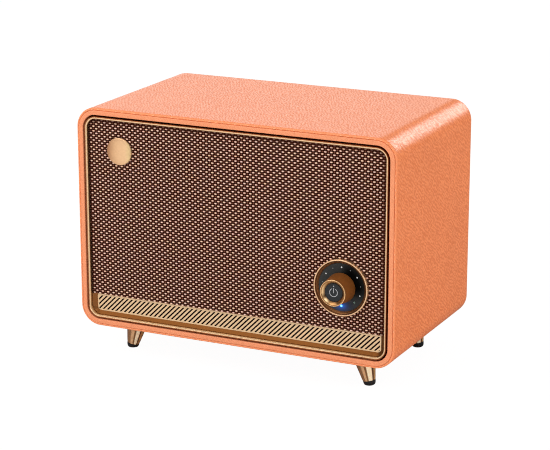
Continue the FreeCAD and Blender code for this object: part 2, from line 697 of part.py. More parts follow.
# the other turned pieces of a driver: name and one or more (radius, y) outlines
DRIVER_PIECES = [
    ("cone", [(cone_radius, -0.9), (cone_radius, -0.2), (9.7, 10.3), (9.7, 9.4)]),
    ("dust_cap", [
        (0, 4.6), (3.2, 5.0), (6.2, 6.1), (8.4, 7.7), (9.6, 9.3),
        (9.0, 9.4), (7.9, 8.0), (5.8, 6.5), (3.0, 5.5), (0, 5.1)]),
    ("voice_coil", [(8.8, 9.5), (9.6, 9.5), (9.6, 26), (8.8, 26)]),
    ("surround", [
        (cone_radius + 0.1, -0.9), (24.6, -2.2), (25.6, -3.1), (26.6, -3.3), (27.6, -3.1),
        (28.5, -2.2), (28.9, -0.7), (30.8, -0.7), (30.8, -0.05), (28.4, -0.05), (28.0, -1.8),
        (27.3, -2.5), (26.6, -2.7), (25.9, -2.5), (25.1, -1.8), (24.7, -0.3),
        (cone_radius + 0.1, -0.3)]),
    ("spider", [(9.7, 16.1), (18.4, 16.1), (18.4, 16.7), (9.7, 16.7)]),
    ("magnet", [(12, 24.05), (22, 24.05), (22, 31), (12, 31)]),
    # the motor's two steel parts: pole with back plate, and top plate
    ("pole_plates",
     [(0, 21.05), (8.5, 21.05), (8.5, 31.05), (20, 31.05), (20, 34), (0, 34)],
     [(10.2, 21.05), (18, 21.05), (18, 24), (10.2, 24)]),
]
for side, x_alias in DRIVERS:
    place = (x_alias, baffle_back, "driver_z")
    basket = turned_y(side + "_basket", place, BASKET)
    window = cut_y(basket, 2.3, 16.4, WINDOW)
    windows = basket.newObject("PartDesign::PolarPattern", fresh("Windows"))
    windows.Originals = [window]
    windows.Axis = (origin_of(basket, "Y_Axis"), [""])
    windows.Angle = 360
    windows.Occurrences = 4
    basket.Tip = windows
    cut_y(basket, -1, 3, *circles(FLANGE_HOLES, dim("screw_shank") + 0.25))
    for name, *outlines in DRIVER_PIECES:
        turned_y(side + "_" + name, place, *outlines)

# ------------------------------------------------------------------------------------------------
# rear panel, port, sockets, buttons and main board
# ------------------------------------------------------------------------------------------------
BUTTONS = [("mode_button", "mode_x"), ("track_back_button", "back_x"),
           ("track_next_button", "next_x")]
port_up = dim("port_z") - CENTRE_Z
controls_up = dim("controls_z") - CENTRE_Z
panel_front = dim("panel_front")
panel_back = dim("panel_back")
port_bore = dim("port_bore")
button_radius = dim("button_radius")
aux_radius = dim(3.0)
controls_left = dim("usb_x") - 10
controls_right = dim("next_x") + 10

panel = new_body("rear_panel", CABINET)
pad_y(panel, panel_front + FIT, panel_back, outline("panel_edge"))
panel_holes = [
    circles(EDGE_SCREWS, pass_radius),
    [circle("port_x", port_up, port_bore + 1.1), circle("aux_x", controls_up, aux_radius + 0.1),
     centred(4.7, 1.85, 1.3, "usb_x", controls_up)],
    circles([(alias, controls_up) for _, alias in BUTTONS], button_radius + 0.1),
]
for hole_group in panel_holes:
    cut_y(panel, panel_front - OVER, panel_back + OVER, *hole_group)
# shallow field round the controls, and a shallow border groove
cut_y(panel, panel_back - 0.6, panel_back + OVER,
      rounded(controls_left, controls_up - 9, controls_right, controls_up + 9, 4))
cut_y(panel, panel_back - 0.5, panel_back + OVER, outline(12.0), outline(13.0))

turned_y("bass_port", ("port_x", 0, "port_z"), [
    (port_bore, 30), (port_bore + 1, 30), (port_bore + 1, panel_back + FIT),
    (port_bore + 4.5, panel_back + FIT), (port_bore + 4.5, panel_back + 0.7),
    (port_bore + 3.6, panel_back + 1.3), (port_bore + 2.0, panel_back + 1.3),
    (port_bore + 0.8, panel_back + 0.6), (port_bore + 0.2, panel_back - 1.2),
    (port_bore, panel_back - 3)])

screws("rear_screws", EDGE_SCREWS, panel_back + FIT, panel_back + 1.5,
       panel_front - screw_reach, "screw_head")

# main board: blocks and two cylinders on its front, a block behind each button on its back
board_front = dim("board_front")
board_back = dim("board_back")
cylinders = circles([(x, controls_up + 22) for x in (74, 84)], 4.0)
board = new_body("main_board", CABINET)
pad_y(board, board_front, board_back,
      rounded(controls_left, controls_up - 14, controls_right, controls_up + 34, 2))
pad_y(board, board_front - 2.2, board_front + 0.1,
      rounded(30, controls_up + 4, 42, controls_up + 16, 0.4),
      rounded(54, controls_up + 10, 62, controls_up + 18, 0.4), *cylinders)
pad_y(board, board_front - 9, board_front - 2.1, *cylinders)
pad_y(board, board_back - 0.1, board_back + 2.6,
      *[centred(3, 3, 0.4, alias, controls_up) for _, alias in BUTTONS])

for label, x_alias in BUTTONS:
    turned_y(label, (x_alias, 0, "controls_z"), [
        (0, board_back + 3.3), (2, board_back + 3.3), (2, board_back + 4),
        (button_radius + 0.8, board_back + 4), (button_radius + 0.8, board_back + 5.3),
        (button_radius, board_back + 5.3), (button_radius, panel_back + 0.45),
        (button_radius - 0.35, panel_back + 0.8), (button_radius - 1.2, panel_back + 0.8),
        (button_radius - 2.4, panel_back + 0.62), (0, panel_back + 0.55)])

aux = new_body("aux_jack", ("aux_x", 0, "controls_z"))
pad_y(aux, board_back + FIT, panel_front - 0.1, centred(5, 4, 0.5))
pad_y(aux, panel_front - 0.2, panel_back + 0.2, circle(0, 0, aux_radius))
cut_y(aux, board_back + 0.85, panel_back + OVER, circle(0, 0, "aux_bore"))

# metal shell closed at the inner end, with a flat tongue
usb = new_body("usb_socket", ("usb_x", 0, "controls_z"))
pad_y(usb, board_back + FIT, panel_back + 0.1, centred(4.47, 1.63, 1.15))
cut_y(usb, board_back + 1.5, panel_back + OVER, centred(4.15, 1.3, 0.9))
pad_y(usb, board_back + 1.4, panel_back - 0.8, box(-3.1, -0.35, 3.1, 0.35))

# ------------------------------------------------------------------------------------------------
# battery, aerial wire and loudspeaker cables
# ------------------------------------------------------------------------------------------------
cell_length = dim("cell_length")
half_cell = cell_length / 2
cell_x = dim("cell_x")
cell_z = dim("cell_z")
cell_radius = dim("cell_radius")
cells_front = dim("cell_first_y") - cell_radius
cells_back = dim("cell_second_y") + cell_radius
end_gap = 0.4               # between the cells' ends and the cradle
side_gap = 0.3              # round the cells
inner_floor = CENTRE_Z - HALF_HEIGHT + "wood_wall"


def cell_circles(z, radius):
    return circles([("cell_first_y", z), ("cell_second_y", z)], radius)


cells = new_body("battery_cells", (cell_x - half_cell, 0, cell_z))
extrude(cells, "Pad", sketch_on(cells, "YZ_Plane", 0, *cell_circles(0, cell_radius)), cell_length)

cradle = new_body("battery_cradle", (cell_x, 0, 0))
pad_z(cradle, inner_floor + 0.1, cell_z + 2,
      rounded(-half_cell - 4, cells_front - 3, half_cell + 4, cells_back + 3, 2))
cut_z(cradle, cell_z - 0.5, cell_z + 4,
      box(-half_cell - end_gap, cells_front - side_gap, half_cell + end_gap, cells_back + side_gap))
trough = sketch_on(cradle, "YZ_Plane", -half_cell - end_gap,
                   *cell_circles(cell_z, cell_radius + side_gap))
extrude(cradle, "Pocket", trough, cell_length + 2 * end_gap, True)


def wire_solid(points, radius):
    """A round wire along a smooth curve through the points."""
    curve = Part.BSplineCurve()
    curve.interpolate([Vector(*point) for point in points])
    start = curve.FirstParameter
    section = Part.Circle(curve.value(start), curve.tangent(start)[0], radius)
    path = Part.Wire([curve.toShape()])
    return path.makePipeShell([Part.Wire([section.toShape()])], True, False)


def add_shape(name, label, shape):
    feature = doc.addObject("Part::Feature", name)
    feature.Label = label
    feature.Shape = shape
    pieces.append((label, feature))


ceiling = (CENTRE_Z + HALF_HEIGHT - "wood_wall").value
socket_z = VALUES["controls_z"] + 30        # height on the main board where the aerial starts
add_shape("AerialWire", "aerial_wire", wire_solid([
    (80, 55.5, socket_z), (84, 50, socket_z + 20), (80, 42, ceiling - 7),
    (40, 38, ceiling - 4), (-20, 36, ceiling - 4), (-80, 34, ceiling - 4)], radius=0.8))

cables = []
for x_alias, end_x in (("left_driver_x", 46), ("right_driver_x", 52)):
    x, y, z = VALUES[x_alias], baffle_back.value, VALUES["driver_z"]
    cables.append(wire_solid([
        (x + 12, y + 37, z - 22), (x + 14, y + 48, z - 26), ((x + end_x) / 2 + 10, 20, z - 22),
        (end_x, 46, socket_z - 8), (end_x, 56.5, socket_z - 6)], radius=1.1))
add_shape("SpeakerCables", "speaker_cables", Part.makeCompound(cables))

# ------------------------------------------------------------------------------------------------
# four splayed feet with rubber tips, each held by one screw from inside
# ------------------------------------------------------------------------------------------------
foot_height = dim("foot_height")
tip_height = dim("tip_height")
low_radius = dim("foot_low_radius")

feet = new_body("feet")
for (top_x, y), (low_x, _) in zip(feet_at("foot_top_x"), feet_at("foot_low_x")):
    upper = sketch_on(feet, "XY_Plane", foot_height - FIT, circle(top_x, y, "foot_top_radius"))
    lower = sketch_on(feet, "XY_Plane", tip_height, circle(low_x, y, low_radius))
    loft(feet, "AdditiveLoft", fresh("Foot"), [upper, lower])
cut_z(feet, foot_height - 9, foot_height + OVER,
      *circles(feet_at("foot_top_x"), dim("stud_radius") + 0.05))

# sections of a tip: height, share of the way from the foot's low end to the tip's end, radius
TIP_SECTIONS = [
    (tip_height - FIT, 0.0, low_radius - 0.02), (tip_height * 0.45, 0.55, low_radius - 0.25),
    (tip_height * 0.12, 0.9, low_radius - 0.85), (0, 1.0, low_radius - 1.5),
]
tips = new_body("foot_tips")
for (low_x, y), (tip_x, _) in zip(feet_at("foot_low_x"), feet_at("foot_tip_x")):
    sections = [sketch_on(tips, "XY_Plane", z, circle(low_x + (tip_x - low_x) * share, y, radius))
                for z, share, radius in TIP_SECTIONS]
    loft(tips, "AdditiveLoft", fresh("Tip"), sections)

# studs, round heads on the cabinet's inner floor, hexagonal sockets
studs = new_body("foot_screws")
pad_z(studs, foot_height - 8.5, inner_floor + 0.1, *circles(feet_at("foot_top_x"), "stud_radius"))
pad_z(studs, inner_floor + FIT, inner_floor + 2.8, *circles(feet_at("foot_top_x"), 4.5))
cut_z(studs, inner_floor + 1.2, inner_floor + 3,
      *[hexagon(x, y, 1.7) for x, y in feet_at("foot_top_x")])

# ------------------------------------------------------------------------------------------------
# recompute, check every object, write one STEP file per piece
# ------------------------------------------------------------------------------------------------
doc.recompute()
faults = []
for obj in doc.Objects:
    if "Invalid" in obj.State or "Error" in obj.State:
        faults.append("%s (%s): %s" % (obj.Name, obj.Label, obj.State))
for body, cut in cuts:
    if not cut.Shape.Volume < cut.BaseFeature.Shape.Volume - 1e-6:
        faults.append("%s in %s removes nothing" % (cut.Name, body.Label))
for label, obj in pieces:
    if obj.Shape.isNull() or not obj.Shape.isValid() or not obj.Shape.Solids:
        faults.append("%s has a bad shape" % label)
if faults:
    raise RuntimeError("\n".join(faults))

os.makedirs("parts", exist_ok=True)
for label, obj in pieces:
    obj.Shape.exportStep(os.path.join("parts", label + ".step"))
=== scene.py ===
"""Leather-wrapped table loudspeaker with a woven grille, a dial with a knob, and splayed feet.

The cabinet is centred on x = 0 and stands on the floor at z = 0. Its front faces -Y, its back
+Y, and its right as seen from the front is +X. Sizes are in millimetres; meshes are stored in
metres. An "inset" is a distance inwards from the cabinet's rounded outline.
"""

import math
from bisect import bisect_right

import bmesh
import bpy
import numpy as np
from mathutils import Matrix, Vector, noise
from mathutils.geometry import delaunay_2d_cdt

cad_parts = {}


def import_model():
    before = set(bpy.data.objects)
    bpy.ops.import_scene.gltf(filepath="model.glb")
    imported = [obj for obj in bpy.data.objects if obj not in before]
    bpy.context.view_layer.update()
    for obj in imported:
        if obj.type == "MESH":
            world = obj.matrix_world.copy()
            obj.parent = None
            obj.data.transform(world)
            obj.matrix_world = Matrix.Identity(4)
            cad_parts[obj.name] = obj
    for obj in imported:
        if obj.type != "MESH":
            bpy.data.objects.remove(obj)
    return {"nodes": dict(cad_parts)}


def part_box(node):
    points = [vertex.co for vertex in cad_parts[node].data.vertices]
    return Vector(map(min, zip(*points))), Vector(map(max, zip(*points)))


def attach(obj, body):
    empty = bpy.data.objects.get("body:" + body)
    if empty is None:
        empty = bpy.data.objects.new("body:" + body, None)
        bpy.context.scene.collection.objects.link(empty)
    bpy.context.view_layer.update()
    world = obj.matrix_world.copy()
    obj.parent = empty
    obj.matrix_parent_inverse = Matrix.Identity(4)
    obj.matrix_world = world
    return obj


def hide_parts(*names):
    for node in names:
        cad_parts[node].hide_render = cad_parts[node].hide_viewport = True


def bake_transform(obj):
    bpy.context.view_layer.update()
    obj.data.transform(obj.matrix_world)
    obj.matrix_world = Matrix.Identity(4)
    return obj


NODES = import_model()["nodes"]


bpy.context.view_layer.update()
MM = 0.001


def box_mm(node):
    least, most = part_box(node)
    return Vector(least) * 1000, Vector(most) * 1000


def depth_mm(node):
    """Front and back y of a node."""
    least, most = box_mm(node)
    return least.y, most.y


def disc_mm(node):
    """Centre x and z, radius, front y and back y of a round node."""
    least, most = box_mm(node)
    centre_x, centre_z = (least.x + most.x) / 2, (least.z + most.z) / 2
    return centre_x, centre_z, (most.x - least.x) / 2, least.y, most.y


# ------------------------------------------------------------------------------------------------
# sizes, most of them read from the CAD nodes
# ------------------------------------------------------------------------------------------------
WRAP_MIN, WRAP_MAX = box_mm("leather_wrap")
HALF_WIDTH = WRAP_MAX.x
HALF_HEIGHT = (WRAP_MAX.z - WRAP_MIN.z) / 2
MID_Z = (WRAP_MAX.z + WRAP_MIN.z) / 2
CORNER_R = 14.0
FRONT, FRONT_TURN_IN = depth_mm("front_lip_trim")
REAR_TURN_IN, BACK = depth_mm("rear_lip_trim")
BEAD_FRONT = box_mm("seam_bead")[0].y
LIP_INSET = 4.8                       # inner edge of both leather lips
BEZEL_INSET, OPENING_INSET = 5.9, 7.5  # outer and inner edge of the bezel

CLOTH_MIN, CLOTH_MAX = box_mm("grille_cloth")
CLOTH_CORNER_R = CORNER_R - (HALF_WIDTH - CLOTH_MAX.x)
CLOTH_MID_Y = CLOTH_MIN.y + 0.30
COLUMN_PITCH, ROW_PITCH = 2.1075, 1.5825
COLUMN_START, ROW_START = -0.18, MID_Z + 0.83

DIAL_X, DIAL_Z, DIAL_R, _, DIAL_BACK = disc_mm("dial_ring")
FACE_Y = box_mm("dial_face")[0].y
LENS = sum(box_mm("indicator_lens"), Vector((0, 0, 0))) / 2
BADGE_X, BADGE_Z, BADGE_R, BADGE_FRONT, BADGE_BACK = disc_mm("badge")
_, _, KNOB_R, _, KNOB_BACK = disc_mm("knob_body")
_, _, KNOB_RIM_R, KNOB_FRONT, _ = disc_mm("knob_ring")
CAP_Y = box_mm("knob_cap")[0].y
STRIP_MIN, STRIP_MAX = box_mm("louvre_strip")


# ------------------------------------------------------------------------------------------------
# mesh helpers, all in millimetres
# ------------------------------------------------------------------------------------------------
def add_object(name, data):
    made = bpy.data.objects.new(name, data)
    bpy.context.scene.collection.objects.link(made)
    return made


def put_mesh(name, verts, faces, material, merge=0.0, sharp=None):
    """Smooth mesh object; edges bent by more than `sharp` degrees stay sharp."""
    mesh = bpy.data.meshes.new(name)
    mesh.from_pydata([(x * MM, y * MM, z * MM) for x, y, z in verts], [], faces)
    bm = bmesh.new()
    bm.from_mesh(mesh)
    if merge:
        bmesh.ops.remove_doubles(bm, verts=bm.verts, dist=merge * MM)
        bmesh.ops.dissolve_degenerate(bm, edges=bm.edges, dist=merge * MM * 0.5)
    bmesh.ops.recalc_face_normals(bm, faces=bm.faces)
    for face in bm.faces:
        face.smooth = True
    if sharp is not None:
        limit = math.radians(sharp)
        for edge in bm.edges:
            if len(edge.link_faces) == 2 and edge.calc_face_angle(0) > limit:
                edge.smooth = False
    bm.to_mesh(mesh)
    bm.free()
    mesh.materials.append(material)
    return add_object(name, mesh)


def place(piece, slot, *nodes, body="cabinet"):
    """Fixes a piece to a body, in place of the CAD nodes named."""
    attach(piece, body)
    if nodes:
        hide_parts(*nodes)


def ring_quads(rings, sides, base=0, closed=False):
    """Quads between successive rings of vertices; `closed` joins the last ring to the first."""
    quads = []
    for i in range(rings if closed else rings - 1):
        near, far = base + i * sides, base + (i + 1) % rings * sides
        for j in range(sides):
            k = (j + 1) % sides
            quads.append((near + j, near + k, far + k, far + j))
    return quads


def tube_faces(rings, sides, base, turn=1):
    """Tube with both ends capped; turn = -1 winds the caps the other way."""
    first = list(range(base, base + sides))
    last = list(range(base + (rings - 1) * sides, base + rings * sides))
    return ring_quads(rings, sides, base) + [first[::-turn], last[::turn]]


def round_poly(points, steps=5):
    """Closed polygon with its corners rounded: points are (a, b) or (a, b, radius)."""
    outline = []
    for i, point in enumerate(points):
        corner = Vector(point[:2])
        radius = point[2] if len(point) > 2 else 0.0
        before = Vector(points[i - 1][:2]) - corner
        after = Vector(points[(i + 1) % len(points)][:2]) - corner
        reach = min(before.length * 0.49, after.length * 0.49)
        before.normalize()
        after.normalize()
        half = before.angle(after) / 2
        if radius <= 0 or abs(half - math.pi / 2) < 1e-3:
            outline.append((corner.x, corner.y))
            continue
        reach = min(radius / math.tan(half), reach)
        radius = reach * math.tan(half)
        centre = corner + (before + after).normalized() * (radius / math.sin(half))
        start = corner + before * reach - centre
        end = corner + after * reach - centre
        sweep_angle = start.angle_signed(end)
        for k in range(steps + 1):
            angle = -sweep_angle * k / steps
            cos, sin = math.cos(angle), math.sin(angle)
            arm = Vector((start.x * cos - start.y * sin, start.x * sin + start.y * cos))
            outline.append((centre.x + arm.x, centre.y + arm.y))
    return outline


def lathe(name, centre_x, centre_z, profile, material, sides=96, sharp=40):
    """Closed profile of (radius, y) turned about a Y axis."""
    verts, rows = [], []
    for radius, y in profile:
        if radius < 1e-6:
            rows.append([len(verts)] * sides)
            verts.append((centre_x, y, centre_z))
            continue
        rows.append(list(range(len(verts), len(verts) + sides)))
        for k in range(sides):
            t = 2 * math.pi * k / sides
            verts.append((centre_x + radius * math.cos(t), y, centre_z + radius * math.sin(t)))
    faces = []
    for i, row in enumerate(rows):
        after = rows[(i + 1) % len(rows)]
        for k in range(sides):
            k2 = (k + 1) % sides
            face = list(dict.fromkeys((row[k], row[k2], after[k2], after[k])))
            if len(face) > 2:
                faces.append(face)
    return put_mesh(name, verts, faces, material, sharp=sharp)


def rim_path(step, arc_steps):
    """Stations round the cabinet's outline, and its length.

    Each station is (arc centre x, arc centre z, outward x, outward z, distance along).
    """
    x_c, z_c = HALF_WIDTH - CORNER_R, HALF_HEIGHT - CORNER_R
    corners = [(x_c, -z_c, -90), (x_c, z_c, 0), (-x_c, z_c, 90), (-x_c, -z_c, 180)]
    arc = CORNER_R * math.pi / 2
    stations, gone = [], 0.0
    for k, (x, z, start) in enumerate(corners):
        for j in range(arc_steps + 1):
            t = math.radians(start + 90.0 * j / arc_steps)
            stations.append((x, z, math.cos(t), math.sin(t), gone + arc * j / arc_steps))
        gone += arc
        next_x, next_z, _ = corners[(k + 1) % 4]
        length = math.hypot(next_x - x, next_z - z)
        parts = max(1, int(round(length / step)))
        t = math.radians(start + 90.0)
        for j in range(1, parts):
            stations.append((x + (next_x - x) * j / parts, z + (next_z - z) * j / parts,
                             math.cos(t), math.sin(t), gone + length * j / parts))
        gone += length
    return stations, gone


def sweep(name, path, section, material, shift=None, sharp=None):
    """Closed section of (inset, y) carried round the cabinet's outline.

    shift(distance along, inset, y) gives what to add to the inset and to y.
    """
    verts = []
    for x, z, out_x, out_z, along in path:
        for inset, y in section:
            more_inset, more_y = shift(along, inset, y) if shift else (0.0, 0.0)
            r = CORNER_R - (inset + more_inset)
            verts.append((x + r * out_x, y + more_y, MID_Z + z + r * out_z))
    return put_mesh(name, verts, ring_quads(len(path), len(section), closed=True), material,
                    sharp=sharp)


def densify(section, longer, step_between):
    """Adds points on edges over `longer`; step_between(y, next y) is their spacing."""
    dense = []
    for i, (inset, y) in enumerate(section):
        dense.append((inset, y))
        inset2, y2 = section[(i + 1) % len(section)]
        length = math.hypot(inset2 - inset, y2 - y)
        if length > longer:
            parts = int(length / step_between(y, y2))
            for k in range(1, parts):
                dense.append((inset + (inset2 - inset) * k / parts, y + (y2 - y) * k / parts))
    return dense


def poly_area(poly):
    """Signed area, positive when anticlockwise."""
    return 0.5 * sum(x * poly[(i + 1) % len(poly)][1] - poly[(i + 1) % len(poly)][0] * y
                     for i, (x, y) in enumerate(poly))


def poly_offset(poly, distance):
    """Moves the edges of an anticlockwise polygon outwards."""
    moved = []
    for i in range(len(poly)):
        before, corner, after = (Vector(poly[n % len(poly)]) for n in (i - 1, i, i + 1))
        edge1, edge2 = (corner - before).normalized(), (after - corner).normalized()
        out1, out2 = Vector((edge1.y, -edge1.x)), Vector((edge2.y, -edge2.x))
        moved.append(tuple(corner + (out1 + out2) * (distance / max(0.25, 1 + out1.dot(out2)))))
    return moved


def poly_contains(poly, point):
    inside = False
    for i, (x1, z1) in enumerate(poly):
        x2, z2 = poly[(i + 1) % len(poly)]
        if (z1 > point.y) != (z2 > point.y):
            if point.x < (x2 - x1) * (point.y - z1) / (z2 - z1) + x1:
                inside = not inside
    return inside


def plate(name, outline, holes, front, back, material, chamfer=0.0):
    """Flat plate with holes; a chamfer breaks the front edges of the outline and holes."""
    back_loops = [p if poly_area(p) > 0 else p[::-1] for p in [outline] + holes]
    front_loops = back_loops
    if chamfer:
        front_loops = [poly_offset(back_loops[0], -chamfer)]
        front_loops += [poly_offset(hole, chamfer) for hole in back_loops[1:]]
    verts, faces = [], []

    def fill(loops, y, flip):
        """Triangulates one side; returns the vertex index of each loop point."""
        points, edges = [], []
        for loop in loops:
            start = len(points)
            points += [Vector(p) for p in loop]
            edges += [(start + i, start + (i + 1) % len(loop)) for i in range(len(loop))]
        made, _, triangles, origins, _, _ = delaunay_2d_cdt(points, edges, [], 0, 1e-7)
        base = len(verts)
        verts.extend((v.x, y, v.y) for v in made)
        index = {old: base + new for new, olds in enumerate(origins) for old in olds}
        for triangle in triangles:
            middle = sum((made[i] for i in triangle), Vector((0, 0))) / len(triangle)
            if not poly_contains(loops[0], middle):
                continue
            if not any(poly_contains(hole, middle) for hole in loops[1:]):
                faces.append([base + i for i in (triangle[::-1] if flip else triangle)])
        return index

    front_index = fill(front_loops, front, False)
    back_index = fill(back_loops, back, True)
    start = 0
    for loop in back_loops:
        count = len(loop)
        rims = [[front_index[start + i] for i in range(count)]]
        if chamfer:
            rims.append(list(range(len(verts), len(verts) + count)))
            verts.extend((x, front + chamfer, z) for x, z in loop)
        rims.append([back_index[start + i] for i in range(count)])
        for i in range(count):
            j = (i + 1) % count
            for near, far in zip(rims, rims[1:]):
                faces.append([near[i], near[j], far[j], far[i]])
        start += count
    return put_mesh(name, verts, faces, material, sharp=20)


# ------------------------------------------------------------------------------------------------
# shader graph helpers
# ------------------------------------------------------------------------------------------------
class Graph:
    """Builds a node tree; any input takes a plain value or another node's output."""

    def __init__(self, tree, idle=0.0):
        self.tree = tree
        self.idle = idle              # value on the unused third input of math nodes

    def feed(self, socket, value):
        if isinstance(value, bpy.types.NodeSocket):
            self.tree.links.new(value, socket)
            return
        if socket.type == "RGBA" and len(value) == 3:
            value = (*value, 1.0)
        socket.default_value = value

    def node(self, kind, inputs={}, out=0, **settings):
        """Adds a node and returns its output `out`, or several when `out` is a tuple."""
        made = self.tree.nodes.new(kind)
        for key, value in settings.items():
            setattr(made, key, value)
        for key, value in inputs.items():
            self.feed(made.inputs[key], value)
        if isinstance(out, tuple):
            return [made.outputs[key] for key in out]
        return made.outputs[out]

    def math(self, operation, first, second=0.0, clamp=False):
        return self.node("ShaderNodeMath", {0: first, 1: second, 2: self.idle},
                         operation=operation, use_clamp=clamp)

    def add(self, first, second, clamp=False):
        return self.math("ADD", first, second, clamp)

    def sub(self, first, second):
        return self.math("SUBTRACT", first, second)

    def mul(self, first, second):
        return self.math("MULTIPLY", first, second)

    def div(self, first, second):
        return self.math("DIVIDE", first, second)

    def lerp(self, factor, first, second):
        return self.node("ShaderNodeMix", {0: factor, 2: first, 3: second}, data_type="FLOAT")

    def mix(self, factor, first, second):
        """Colour mix."""
        return self.node("ShaderNodeMix", {0: factor, 6: first, 7: second}, out=2,
                         data_type="RGBA")

    def linear(self, value, low, high, to=(0.0, 1.0), kind="LINEAR"):
        """Maps low..high onto `to`."""
        return self.node("ShaderNodeMapRange", {0: value, 1: low, 2: high, 3: to[0], 4: to[1]},
                         interpolation_type=kind)

    def smooth(self, value, low, high, to=(0.0, 1.0)):
        return self.linear(value, low, high, to, kind="SMOOTHSTEP")

    def ramp(self, factor, stops):
        """Colour ramp; stops are (position, colour)."""
        output = self.node("ShaderNodeValToRGB", {0: factor})
        elements = output.node.color_ramp.elements
        while len(elements) < len(stops):
            elements.new(0.5)
        for element, (position, colour) in zip(elements, stops):
            element.position = position
            element.color = (*colour, 1.0)
        return output

    def xyz(self, vector):
        return self.node("ShaderNodeSeparateXYZ", {0: vector}, out=(0, 1, 2))

    def combine(self, x, y, z):
        return self.node("ShaderNodeCombineXYZ", {0: x, 1: y, 2: z})

    def noise(self, vector, scale=1.0, detail=2.0, rough=0.5, distortion=0.0):
        return self.node("ShaderNodeTexNoise", {
            "Vector": vector, "Scale": scale, "Detail": detail, "Roughness": rough,
            "Distortion": distortion}, out="Fac")

    def voronoi(self, scale, vector, feature, **inputs):
        return self.node("ShaderNodeTexVoronoi", {"Vector": vector, "Scale": scale, **inputs},
                         out="Distance", feature=feature)

    def bump(self, height, depth):
        """Normal for a height map; depth is millimetres for a height step of 1."""
        return self.node("ShaderNodeBump", {
            "Strength": 1.0, "Distance": depth * MM, "Height": height})

    def radius(self, x, z, centre_x, centre_z):
        """Distance from an axis along Y."""
        across = self.math("POWER", self.sub(x, centre_x), 2.0)
        up = self.math("POWER", self.sub(z, centre_z), 2.0)
        return self.math("SQRT", self.add(across, up))

    def rounded_inset(self, past_x, past_z, radius):
        """Distance in from a rounded corner, given x and z past its arc centre."""
        past_x = self.math("MAXIMUM", past_x, 0.0)
        past_z = self.math("MAXIMUM", past_z, 0.0)
        squares = self.add(self.mul(past_x, past_x), self.mul(past_z, past_z))
        return self.sub(radius, self.math("SQRT", squares))


class Material(Graph):
    """Principled material; `mm` is the object coordinate in millimetres."""

    def __init__(self, name):
        self.material = bpy.data.materials.new(name)
        self.material.use_nodes = True
        super().__init__(self.material.node_tree)
        self.shader = self.tree.nodes["Principled BSDF"]
        self.mm = self.node("ShaderNodeVectorMath", {
            0: self.node("ShaderNodeTexCoord", out="Object"), "Scale": 1000.0},
            operation="SCALE")

    def set(self, **inputs):
        """Feeds Principled inputs, named with _ for a space."""
        for key, value in inputs.items():
            self.feed(self.shader.inputs[key.replace("_", " ")], value)
        return self.material

    def streaks(self, per_mm, scale=1.0, detail=3, rough=0.6, distortion=0.0):
        """Noise with its own density along x, y and z."""
        stretched = self.node("ShaderNodeMapping", {0: self.mm, "Scale": per_mm})
        return self.noise(stretched, scale, detail, rough, distortion)


def tint(colour, gain):
    return tuple(c * gain for c in colour)


# ------------------------------------------------------------------------------------------------
# general materials
# ------------------------------------------------------------------------------------------------
def leather(name, base, dark, grain=1.0, depth=0.072, stretch=3.0, rough=0.42, shade=0.4):
    """Pebbled leather: fine ridges that run one way, with small pebbles and creases; the creases get
    painted shade and the ridge tops a painted highlight.

    grain is the size of the relief, stretch its length along the ridges, shade the contrast.
    """
    mat = Material(name)
    turned = mat.node("ShaderNodeMapping", {
        0: mat.mm, "Rotation": (math.radians(-40), 0, math.radians(-9))}, vector_type="TEXTURE")
    across, along, up = mat.xyz(turned)
    drawn = mat.combine(across, mat.div(along, stretch), up)
    # ridges: a slanted sine wave, made to sway and to fade in places
    sway = mat.mul(mat.noise(mat.mm, scale=0.11), 3.2)
    sway = mat.add(sway, mat.mul(mat.noise(drawn, scale=0.55 / grain, detail=1), 1.1))
    slant = mat.add(mat.div(up, 2.15 * grain), mat.div(across, 2.6 * grain))
    turns = mat.mul(mat.add(sway, slant), 2 * math.pi)
    wave = mat.add(0.5, mat.mul(mat.math("SINE", turns), 0.5))
    gate = mat.smooth(mat.noise(drawn, scale=0.30 / grain, detail=1), 0.38, 0.60, to=(0.35, 1.0))
    ridge = mat.smooth(mat.noise(drawn, scale=1.05 / grain, detail=0.6, distortion=0.2),
                       0.36, 0.64)
    cell = mat.voronoi(1.0 / grain, drawn, "SMOOTH_F1", Randomness=1.0, Smoothness=0.3)
    pebble = mat.smooth(cell, 0.15, 0.75, to=(1.0, 0.0))
    fine = mat.noise(drawn, scale=3.0 / grain, rough=0.6)
    broad = mat.noise(mat.mm, scale=0.03)
    # height: share of each relief
    small = mat.add(mat.mul(pebble, 0.18), mat.mul(fine, 0.12))
    height = mat.add(mat.mul(mat.lerp(gate, 0.5, wave), 0.50),
                     mat.add(mat.mul(ridge, 0.28), small))
    low = mat.smooth(height, 0.30, 0.72, to=(1.0, 0.0))
    high = mat.smooth(height, 0.55, 1.00)
    lit = tuple(c * gain for c, gain in zip(base, (1.12, 1.22, 1.30)))
    colour = mat.mix(mat.smooth(broad, 0.3, 0.72), tint(base, 0.98), tint(base, 1.02))
    # painted shade darkens the creases, and a painted highlight lightens the ridge tops
    colour = mat.mix(mat.mul(low, 0.62 * shade), colour, dark)
    colour = mat.mix(mat.mul(high, 0.45 * shade), colour, lit)
    return mat.set(Base_Color=colour, Roughness=mat.add(rough, mat.mul(low, 0.14)),
                   Normal=mat.bump(height, depth), Specular_IOR_Level=0.34)


